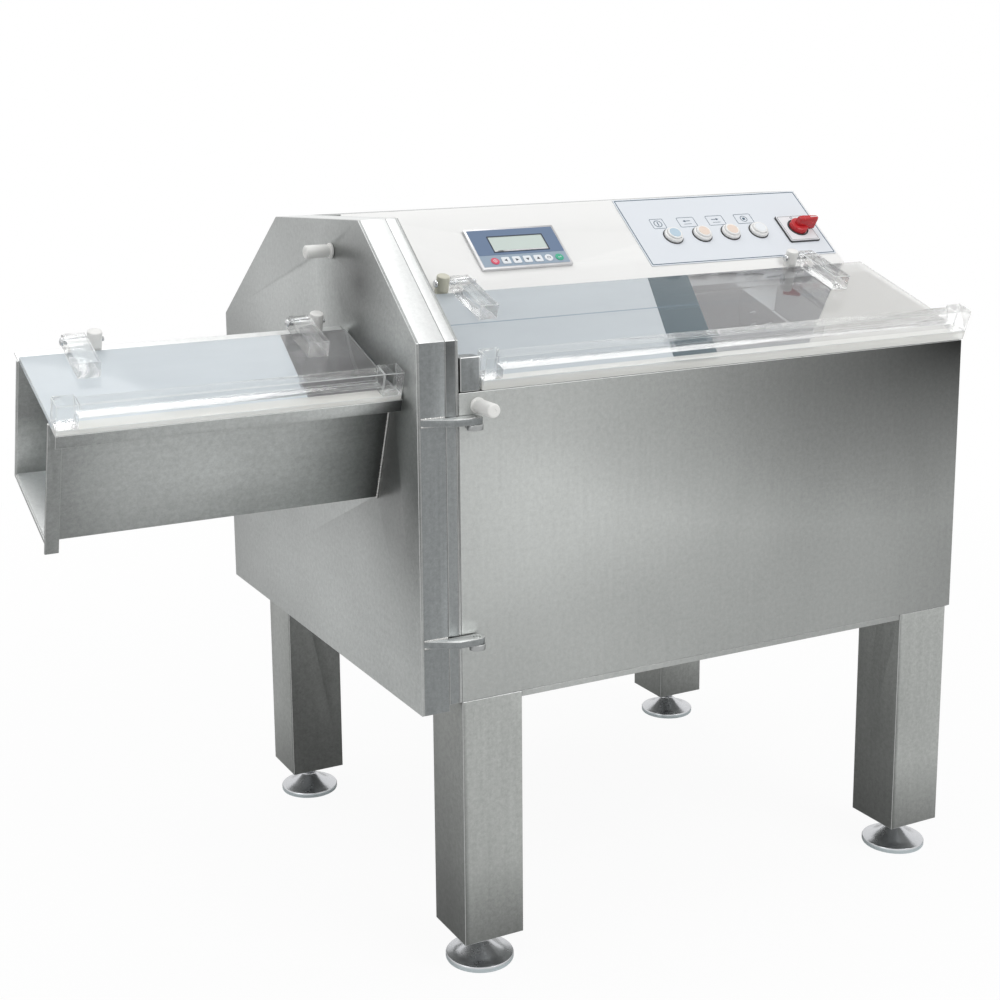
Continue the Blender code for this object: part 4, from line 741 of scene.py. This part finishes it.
def makeDisplay(s):
    addPiece("displayFrame", nodeShape("hmi_bezel"), ["milledAluminium"], "hmi_bezel",
             s["frameEdge"])
    left, right = s["left"] + s["rim"], s["left"] + s["width"] - s["rim"]
    low, high = s["low"] + s["rim"], s["low"] + s["height"] - s["rim"]
    split, corner, inner = s["low"] + s["band"], s["corner"], s["screenCorner"]
    z0, z1 = s["top"] + s["lift"], s["top"] + s["face"]
    bm = bmesh.new()
    addRing(bm, boxOutline((left, right, split, high), corner), boxOutline(s["screen"], inner), z0, z1, 0)
    outside, wide, raised = s["border"]
    addFrame(bm, grown(s["screen"], outside), wide, z1, z1 + raised, 2, (inner, inner))
    addPlate(bm, (left, right, low, split - s["split"]), z0, z1, 1, corner)
    addPiece("displayFace", bm, ["bezelBlue", "keyStrip", "inkDark"], None, s["faceEdge"],
             consoleFrame)

    glass = bmesh.new()
    inset, deep, rounded = s["glass"]
    addPlate(glass, grown(s["screen"], -inset), s["top"] - deep, s["top"], 0, rounded)
    addPiece("displayScreen", glass, ["screenGlass"], "hmi_screen", s["glassEdge"],
             consoleFrame)

    keys = bmesh.new()
    top, y, r = z1 + s["keyHigh"], s["keyRow"], s["key"]
    ink = top + s["print"]
    places = [s["keyFirst"] + s["keyStep"] * i for i in range(len(s["looks"]))]
    side, crown, middle = s["dome"]
    for x, look, mark in zip(places, s["looks"], s["marks"]):
        if mark is None:
            addTurned(keys, [(0.0, z1), (r, z1), (r, top - side), (r - side, top - crown), (r * middle, top),
                             (0.0, top)], s["keySides"], Matrix.Translation((x, y, 0.0)), look)
        else:
            addPlate(keys, around(x, y, r, r), z1, top, look, s["keyCorner"])
            addPrism(keys, arrowOutline(x, y, r * s["mark"], mark), top, ink, 3)
    addHoop(keys, places[0], y, s["stopRing"], top, ink, 0, s["ringSides"])    # stop sign: a ring and a stroke
    addPlate(keys, around(places[0], y, *s["stopBar"]), top, top + s["stopHigh"])
    for bar in s["returnBars"]:    # return sign: an angled arrow
        addPlate(keys, moved(bar, places[6], y), top, ink)
    dx, dy, size = s["returnTip"]
    addPrism(keys, arrowOutline(places[6] + dx, y + dy, size, 180), top, ink)
    addFrame(keys, around(places[5], y, *s["page"]), s["pageLine"], top, ink, 3)    # page sign
    addPiece("displayKeys", keys, ["keyWhite", "keyRed", "keyGreen", "inkDark"],
             where=consoleFrame)


makeDisplay(displayParts)
print("display made")


# Button plate: printed frame and signs, collars and caps

plateParts = {
    "left": 0.524, "low": 0.027, "width": 0.402, "height": 0.167, "under": 0.0003, "sheet": 0.0015,
    "ink": 0.00012, "corner": 0.001, "hole": 0.0243, "lineIn": 0.0022, "line": 0.0017,
    "lineCorners": (0.0025, 0.0018), "first": 0.603, "step": 0.062, "row": 0.095,
    "signs": (0.588, 0.65, 0.7125, 0.775), "signRow": 0.1285, "signTall": 0.0124, "thin": 0.001,
    "signWide": (0.014, 0.0185, 0.0185, 0.0185), "signCorners": (0.003, 0.0022), "startRing": (0.0084, 0.007),
    "startBar": (0.0009, 0.0048), "stopRing": (0.0074, 0.0062), "stopHalf": 0.0028,
    "arrow": (0.0044, 0.003, 0.0034), "shaft": (0.008, 0.003, 0.0022, 0.0038),
    "track": (-0.008, 0.008, -0.0052, -0.0042), "sides": 48, "sealTop": 0.00275,
    "collar": [(0.0088, -0.0297), (0.011, -0.0297), (0.011, 0.0015), (0.0192, 0.0015), (0.0192, 0.0027),
               (0.0174, 0.0028), (0.0176, 0.0035), (0.0176, 0.0053), (0.0172, 0.0067), (0.0165, 0.0078),
               (0.0154, 0.0085), (0.0145, 0.0085), (0.0142, 0.008), (0.0142, 0.0022), (0.0088, 0.0022),
               (0.0088, -0.0297)],    # round a barrel, on a dark seal that is widened as painted shadow under the collar
    "cap": [(0.0, -0.0297), (0.0085, -0.0297), (0.0085, 0.0056), (0.0139, 0.0056), (0.0139, 0.0106),
            (0.0135, 0.0114), (0.0127, 0.0119), (0.0115, 0.012), (0.0109, 0.0116), (0.0, 0.0112)],
    "disc": [(0.0, 0.0092), (0.0108, 0.0092), (0.0108, 0.0116), (0.0103, 0.0121), (0.0094, 0.0122),
             (0.0054, 0.0117), (0.0, 0.0115)],    # with a shallow dish for the fingertip
    "buttons": (("start", "capBlue", "blue_button"), ("forward", "capPeach", "peach_button"),
                ("back", "capPeach", "peach_button"), ("stop", "capPearl", "white_button"))}


def addSigns(plate, s, low, high):
    y = s["signRow"]
    start, forward, back, stop = s["signs"]
    for x, wide in zip(s["signs"], s["signWide"]):
        addFrame(plate, around(x, y, wide, s["signTall"]), s["thin"], low, high, 1, s["signCorners"])
    addHoop(plate, start, y, s["startRing"], low, high, 1)    # start: a stroke in a ring
    addPlate(plate, around(start, y, *s["startBar"]), low, high, 1)
    for x, way in ((forward, -1), (back, 1)):    # an arrow with its shaft over a track
        tip, rise, size = s["arrow"]
        addPrism(plate, arrowOutline(x + way * tip, y + rise, size, 90 - way * 90), low, high, 1)
        tail, nose, near, far = s["shaft"]
        addPlate(plate, (*sorted((x - way * tail, x + way * nose)), y + near, y + far), low, high, 1)
        addPlate(plate, moved(s["track"], x, y), low, high, 1)
    addHoop(plate, stop, y, s["stopRing"], low, high, 1)    # stop: a square in a ring
    addPlate(plate, around(stop, y, s["stopHalf"], s["stopHalf"]), low, high, 1)


def makeButtonPlate(s):
    board = (s["left"], s["left"] + s["width"], s["low"], s["low"] + s["height"])
    hole = around(switchParts["x"], switchParts["row"], s["hole"], s["hole"])
    face, ink = s["sheet"], s["sheet"] + s["ink"]
    plate = bmesh.new()
    addRing(plate, boxOutline(board, s["corner"], 5), boxOutline(hole, s["corner"], 5), s["under"], face)
    addFrame(plate, grown(board, -s["lineIn"]), s["line"], face, ink, 1, s["lineCorners"])
    addSigns(plate, s, face, ink)
    for i, (key, finish, slot) in enumerate(s["buttons"]):
        where = Matrix.Translation((s["first"] + s["step"] * i, s["row"], 0.0))
        # faces below the seal's top take the black rubber: a seal, widened as painted shadow
        addTurned(plate, s["collar"], s["sides"], where, 2, ((s["sealTop"], 3),))
        bm = bmesh.new()
        addTurned(bm, s["cap"], s["sides"], material=1)
        addTurned(bm, s["disc"], s["sides"])
        addPiece("button." + key, bm, [finish, "collarWhite"], "button_" + key,
                 where=consoleFrame @ where)
    addPiece("buttonPlate", plate, ["plateEnamel", "inkBlue", "collarWhite", "rubberBlack"],
             "button_plate", where=consoleFrame)


# Rotary switch: square plate, dial marks and a red handle

switchParts = {
    "x": 0.875, "row": 0.093, "half": 0.032, "corner": 0.003, "low": 0.0018, "high": 0.0058, "bore": 0.0043,
    "gasket": (0.0014, 0.0036, 0.0022), "body": 0.024, "deep": 0.04, "bodyTop": (0.0205, 0.0204, 0.0001),
    "bodyCorner": 0.001, "ring": (0.0205, 0.0179), "ringHigh": 0.0014, "ink": 0.00012,
    "onBar": (0.0258, 0.0268, -0.0024, 0.0024), "offRing": (0.0028, 0.002), "offAt": 0.0262,
    "lineIn": 0.0016, "line": 0.0007, "lineCorners": (0.0022, 0.0016), "sides": 56, "edge": 0.0006,
    "base": [(0.0, -0.0195), (0.0038, -0.0195), (0.0038, 0.0061), (0.017, 0.0061), (0.017, 0.0131),
             (0.016, 0.0151), (0.014, 0.0161), (0.0, 0.0161)],
    "rows": ((0.0081, 0.001), (0.0181, 0.0004), (0.0281, 0.0), (0.0309, -0.0008), (0.0321, -0.0022)),
    "tip": 0.0335, "heel": 0.0085, "wide": 0.0065, "slim": 0.0046, "heelShare": 0.7,
    "waist": (0.6, 0.0008), "nose": (0.002, 0.5), "mark": (0.45, 0.003, 0.0007), "markAt": (0.0321, 0.0323)}


def handleOutline(s, grow):    # heel, middle, waist and nose, on both sides
    wide, slim, tip = s["wide"] + grow, s["slim"] + grow, s["tip"]
    share, more = s["waist"]
    back, blunt = s["nose"]
    half = [(-s["heel"] - grow, wide * s["heelShare"]), (0.0, wide), (tip * share, slim + more),
            (tip - back + grow, slim), (tip + grow, slim * blunt)]
    return [(x, -y) for x, y in half] + half[::-1]


def makeSwitch(s):
    square, body = [around(0.0, 0.0, s[key], s[key]) for key in ("half", "body")]
    high, bore = s["high"], roundOutline(s["bore"], 28, start=-math.pi / 2)
    bm = bmesh.new()
    addRing(bm, boxOutline(square, s["corner"], 6), bore, s["low"], high)
    # a black frame round the plate: partly a gasket and partly painted shade along the plate's edge
    wide, corner, tall = s["gasket"]
    addFrame(bm, grown(square, wide), wide, s["low"], s["low"] + tall, 1, (corner, s["corner"]), 6)
    closed, opened, gap = s["bodyTop"]
    addPlate(bm, body, -s["deep"], -closed, 2)
    addRing(bm, boxOutline(body, s["bodyCorner"], 6), bore, -opened, s["low"] - gap, 2)
    addHoop(bm, 0.0, 0.0, s["ring"], high, high + s["ringHigh"], 1, 48)
    z = high + s["ink"]
    addPlate(bm, s["onBar"], high, z, 3)
    addHoop(bm, 0.0, s["offAt"], s["offRing"], high, z, 3, 24)
    addFrame(bm, grown(square, -s["lineIn"]), s["line"], high, z, 3, s["lineCorners"])
    where = consoleFrame @ Matrix.Translation((s["x"], s["row"], 0.0))
    addPiece("switchPlate", bm, ["switchGrey", "rubberBlack", "motorPaint", "inkDark"],
             "switch_plate", where=where)

    bm = bmesh.new()
    addTurned(bm, s["base"], s["sides"])
    addRows(bm, [(handleOutline(s, grow), height) for height, grow in s["rows"]])
    share, back, half = s["mark"]
    addPlate(bm, (s["tip"] * share, s["tip"] - back, -half, half), *s["markAt"], 1)
    addPiece("switchHandle", bm, ["switchRed", "collarWhite"], "switch_knob", s["edge"], where)


makeButtonPlate(plateParts)
makeSwitch(switchParts)
print("buttons and switch made")


# The ball screw's thread

ballScrewParts = {"radius": 0.0078, "root": 0.0071, "pitch": 0.005, "groove": (0.16, 0.45, 0.6, 0.98),
                  "ends": (0.001, 0.022, 0.028), "sides": 20}


def makeBallScrew(s):
    low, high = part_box("ball_screw")
    centre = (low + high) / 2
    root, radius, (step, first, last) = s["root"], s["radius"], s["ends"]
    x = low.x + first
    profile = [(0.0, low.x), (root, low.x), (radius, low.x + step), (radius, x)]
    while x < high.x - last:
        a, b, c, d = [x + s["pitch"] * share for share in s["groove"]]
        profile += [(root, a), (root, b), (radius, c), (radius, d)]
        x += s["pitch"]
    bm = bmesh.new()
    addTurned(bm, profile + [(radius, high.x), (0.0, high.x)], s["sides"])
    addPiece("ballScrew", bm, ["machinedSteel"], "ball_screw", None,
             Matrix.Translation((0.0, centre.y, centre.z)) @ turnTo("X"))


makeBallScrew(ballScrewParts)
print("ball screw made")


# Weld beads and screws grow on guide points

class Pattern(Maker):    # a Geometry Nodes tree with named sizes
    def __init__(self, name, sizes):
        self.tree = bpy.data.node_groups.new(name, "GeometryNodeTree")
        sockets = self.tree.interface
        sockets.new_socket("Guide", in_out="INPUT", socket_type="NodeSocketGeometry")
        for label, value in sizes.items():
            sockets.new_socket(label, in_out="INPUT", socket_type="NodeSocketFloat").default_value = value
        sockets.new_socket("Result", in_out="OUTPUT", socket_type="NodeSocketGeometry")
        self.start = self.tree.nodes.new("NodeGroupInput")

    def given(self, label):
        return Wire(self, self.start.outputs[label])

    def close(self, points, instance, direction, finish, size=(1.0, 1.0, 1.0)):
        turn = self.node("FunctionNodeAlignRotationToVector", {"axis": "Z"}, {"Vector": direction}, "Rotation")
        grown = self.node("GeometryNodeInstanceOnPoints", {}, {"Points": points, "Instance": instance,
                                                               "Rotation": turn, "Scale": size})
        whole = self.node("GeometryNodeRealizeInstances", {}, {"Geometry": grown})
        dressed = self.node("GeometryNodeSetMaterial", {}, {"Geometry": whole, "Material": finishes[finish]})
        self.feed(self.tree.nodes.new("NodeGroupOutput"), {"Result": dressed})
        return self

    def grow(self, points, edges, sizes, facing=()):
        mesh = bpy.data.meshes.new("guide")
        mesh.from_pydata(points, edges, [])
        if facing:
            mesh.attributes.new("facing", "FLOAT_VECTOR", "POINT").data.foreach_set("vector", sum(facing, ()))
        guide = newObject("guide", mesh)
        modifier = guide.modifiers.new("growth", "NODES")
        modifier.node_group = self.tree
        for item in self.tree.interface.items_tree:
            if item.in_out == "INPUT" and item.name in sizes:
                modifier[item.identifier] = sizes[item.name]
        grown = bpy.data.meshes.new_from_object(guide.evaluated_get(bpy.context.evaluated_depsgraph_get()))
        guide.modifiers.remove(modifier)
        bpy.data.objects.remove(guide)
        bm = bmesh.new()
        bm.from_mesh(grown)
        return bm


weldParts = {
    "sizes": {"Pitch": 0.0026, "Bead Radius": 0.002}, "railSizes": {"Pitch": 0.0026, "Bead Radius": 0.0017},
    "ripple": {"Segments": 10, "Rings": 5, "Radius": 1.0}, "long": 0.85, "wobble": {2: 0.8, 3: 1.2, 8: 11},
    "seam": (-0.0679, 0.0374, 0.2186, -0.0215, -0.1904), "leafEnds": (-0.2545, -0.219), "leafFace": -0.385,
    "leafHeights": (0.5464, 0.5576, 0.8784, 0.8896), "legs": (-0.092, 0.654, -0.2825, 0.3335),
    "corners": (-0.194, 0.756, -0.3845, 0.4355), "inset": (0.025, 0.055), "railLow": 0.436, "railTop": 0.4495,
    "lap": 0.0006}


def makeWeldPattern(finish):
    p = Pattern("weldBead", weldParts["sizes"])
    pitch, radius = p.given("Pitch"), p.given("Bead Radius")
    path = p.node("GeometryNodeMeshToCurve", {}, {"Mesh": p.given("Guide")})
    spots = p.node("GeometryNodeResampleCurve", {"mode": "LENGTH"}, {"Curve": path, "Length": pitch})
    ripple = p.node("GeometryNodeMeshUVSphere", {}, weldParts["ripple"])
    ripple = p.node("GeometryNodeSetShadeSmooth", {}, {"Geometry": ripple})
    wobble = p.node("FunctionNodeRandomValue", {"data_type": "FLOAT"}, weldParts["wobble"], 1)
    size = p.node("ShaderNodeCombineXYZ", {}, {0: radius * wobble, 1: radius * wobble,
                                               2: pitch * weldParts["long"]})
    return p.close(spots, ripple, p.node("GeometryNodeInputTangent"), finish, size)


def makeScrewPattern(finish):
    p = Pattern("screwHeads", screwParts["sizes"])
    high = p.given("Head Height")
    head = p.node("GeometryNodeMeshCylinder", {}, {
        "Vertices": screwParts["sides"], "Radius": p.given("Head Radius"), "Depth": high * screwParts["skirt"]})
    top = head.beside("Top")
    for rise, share in screwParts["steps"]:    # crown, socket's edge and socket's floor
        head = p.node("GeometryNodeExtrudeMesh", {"mode": "FACES"}, {"Mesh": head, "Selection": top,
                                                                     "Offset Scale": high * rise})
        share = share or p.given("Socket Share")
        top = head.beside("Top")
        head = p.node("GeometryNodeScaleElements", {"domain": "FACE"}, {"Geometry": head, "Selection": top,
                                                                        "Scale": share})
    outward = p.node("GeometryNodeInputNamedAttribute", {"data_type": "FLOAT_VECTOR"}, {"Name": "facing"})
    return p.close(p.given("Guide"), head, outward, finish)


def runPaths(paths):    # points and edges of several open paths
    points = [tuple(point) for path in paths for point in path]
    edges, first = [], 0
    for path in paths:
        edges += [(first + i, first + i + 1) for i in range(len(path) - 1)]
        first += len(path)
    return points, edges


def aroundEnd(first, last, low, top):    # down, across and up around a rail's end
    return (first, top), (first, low), (last, low), (last, top)


def makeWelds(s):
    bead = makeWeldPattern("beadSteel")
    x, near, far, top, low = s["seam"]
    paths = [[chuteFrame @ Vector((x, u, h)) for u, h in ((near, top), (near, low), (far, low), (far, top))]]
    left, right = s["leafEnds"]
    paths += [[(left, s["leafFace"], z), (right, s["leafFace"], z)] for z in s["leafHeights"]]
    addPiece("doorWelds", bead.grow(*runPaths(paths), s["sizes"]), ["beadSteel"], body="door")

    legLeft, legRight, legNear, legFar = s["legs"]
    left, right, near, far = s["corners"]
    a, b, lap = *s["inset"], s["lap"]
    low, top = s["railLow"], s["railTop"]
    paths = []
    for x in (legLeft + lap, legRight - lap):    # near and far rails
        for first, last in ((near + a, near + b), (far - b, far - a)):
            paths.append([(x, y, z) for y, z in aroundEnd(first - lap, last + lap, low, top)])
    for y in (legNear + lap, legFar - lap):    # side rails
        for first, last in ((left + a, left + b), (right - b, right - a)):
            paths.append([(x, y, z) for x, z in aroundEnd(first - lap, last + lap, low, top)])
    addPiece("frameWelds", bead.grow(*runPaths(paths), s["railSizes"]), ["beadSteel"])


screwParts = {
    "sizes": {"Head Radius": 0.0052, "Head Height": 0.0034, "Socket Share": 0.62}, "sides": 18, "skirt": 0.9,
    "steps": ((0.35, 0.78), (0.0, None), (-0.6, 0.96)), "backFace": 0.4356,
    "backX": (-0.168, 0.058, 0.286, 0.513, 0.74), "backZ": (0.474, 0.928), "endFace": 0.7661,
    "endY": (-0.358, -0.102, 0.154, 0.41), "endLow": 0.476, "endTop": (0.898, 0.926), "sideZ": (0.625, 0.778),
    "coverX": (-0.168, 0.125, 0.418, 0.711), "coverAt": (0.4129, 0.9684), "coverFacing": (0.0, 0.569, 0.822)}


def makeScrews(s):
    back, end = (0.0, 1.0, 0.0), (1.0, 0.0, 0.0)
    rows = ((s["backX"], s["backZ"]), ((s["backX"][0], s["backX"][-1]), s["sideZ"]))
    spots = [((x, s["backFace"], z), back) for places, heights in rows for x in places for z in heights]
    ends = [(y, s["endLow"]) for y in s["endY"]] + [(y, s["endTop"][y > s["endY"][0]]) for y in s["endY"]]
    ends += [(y, z) for y in (s["endY"][0], s["endY"][-1]) for z in s["sideZ"]]
    spots += [((s["endFace"], y, z), end) for y, z in ends]
    spots += [((x, *s["coverAt"]), s["coverFacing"]) for x in s["coverX"]]
    points, facing = zip(*spots)
    heads = makeScrewPattern("machinedSteel").grow(points, [], s["sizes"], facing)
    addPiece("panelScrews", heads, ["machinedSteel"])


makeWelds(weldParts)
makeScrews(screwParts)
print("welds and screws made")
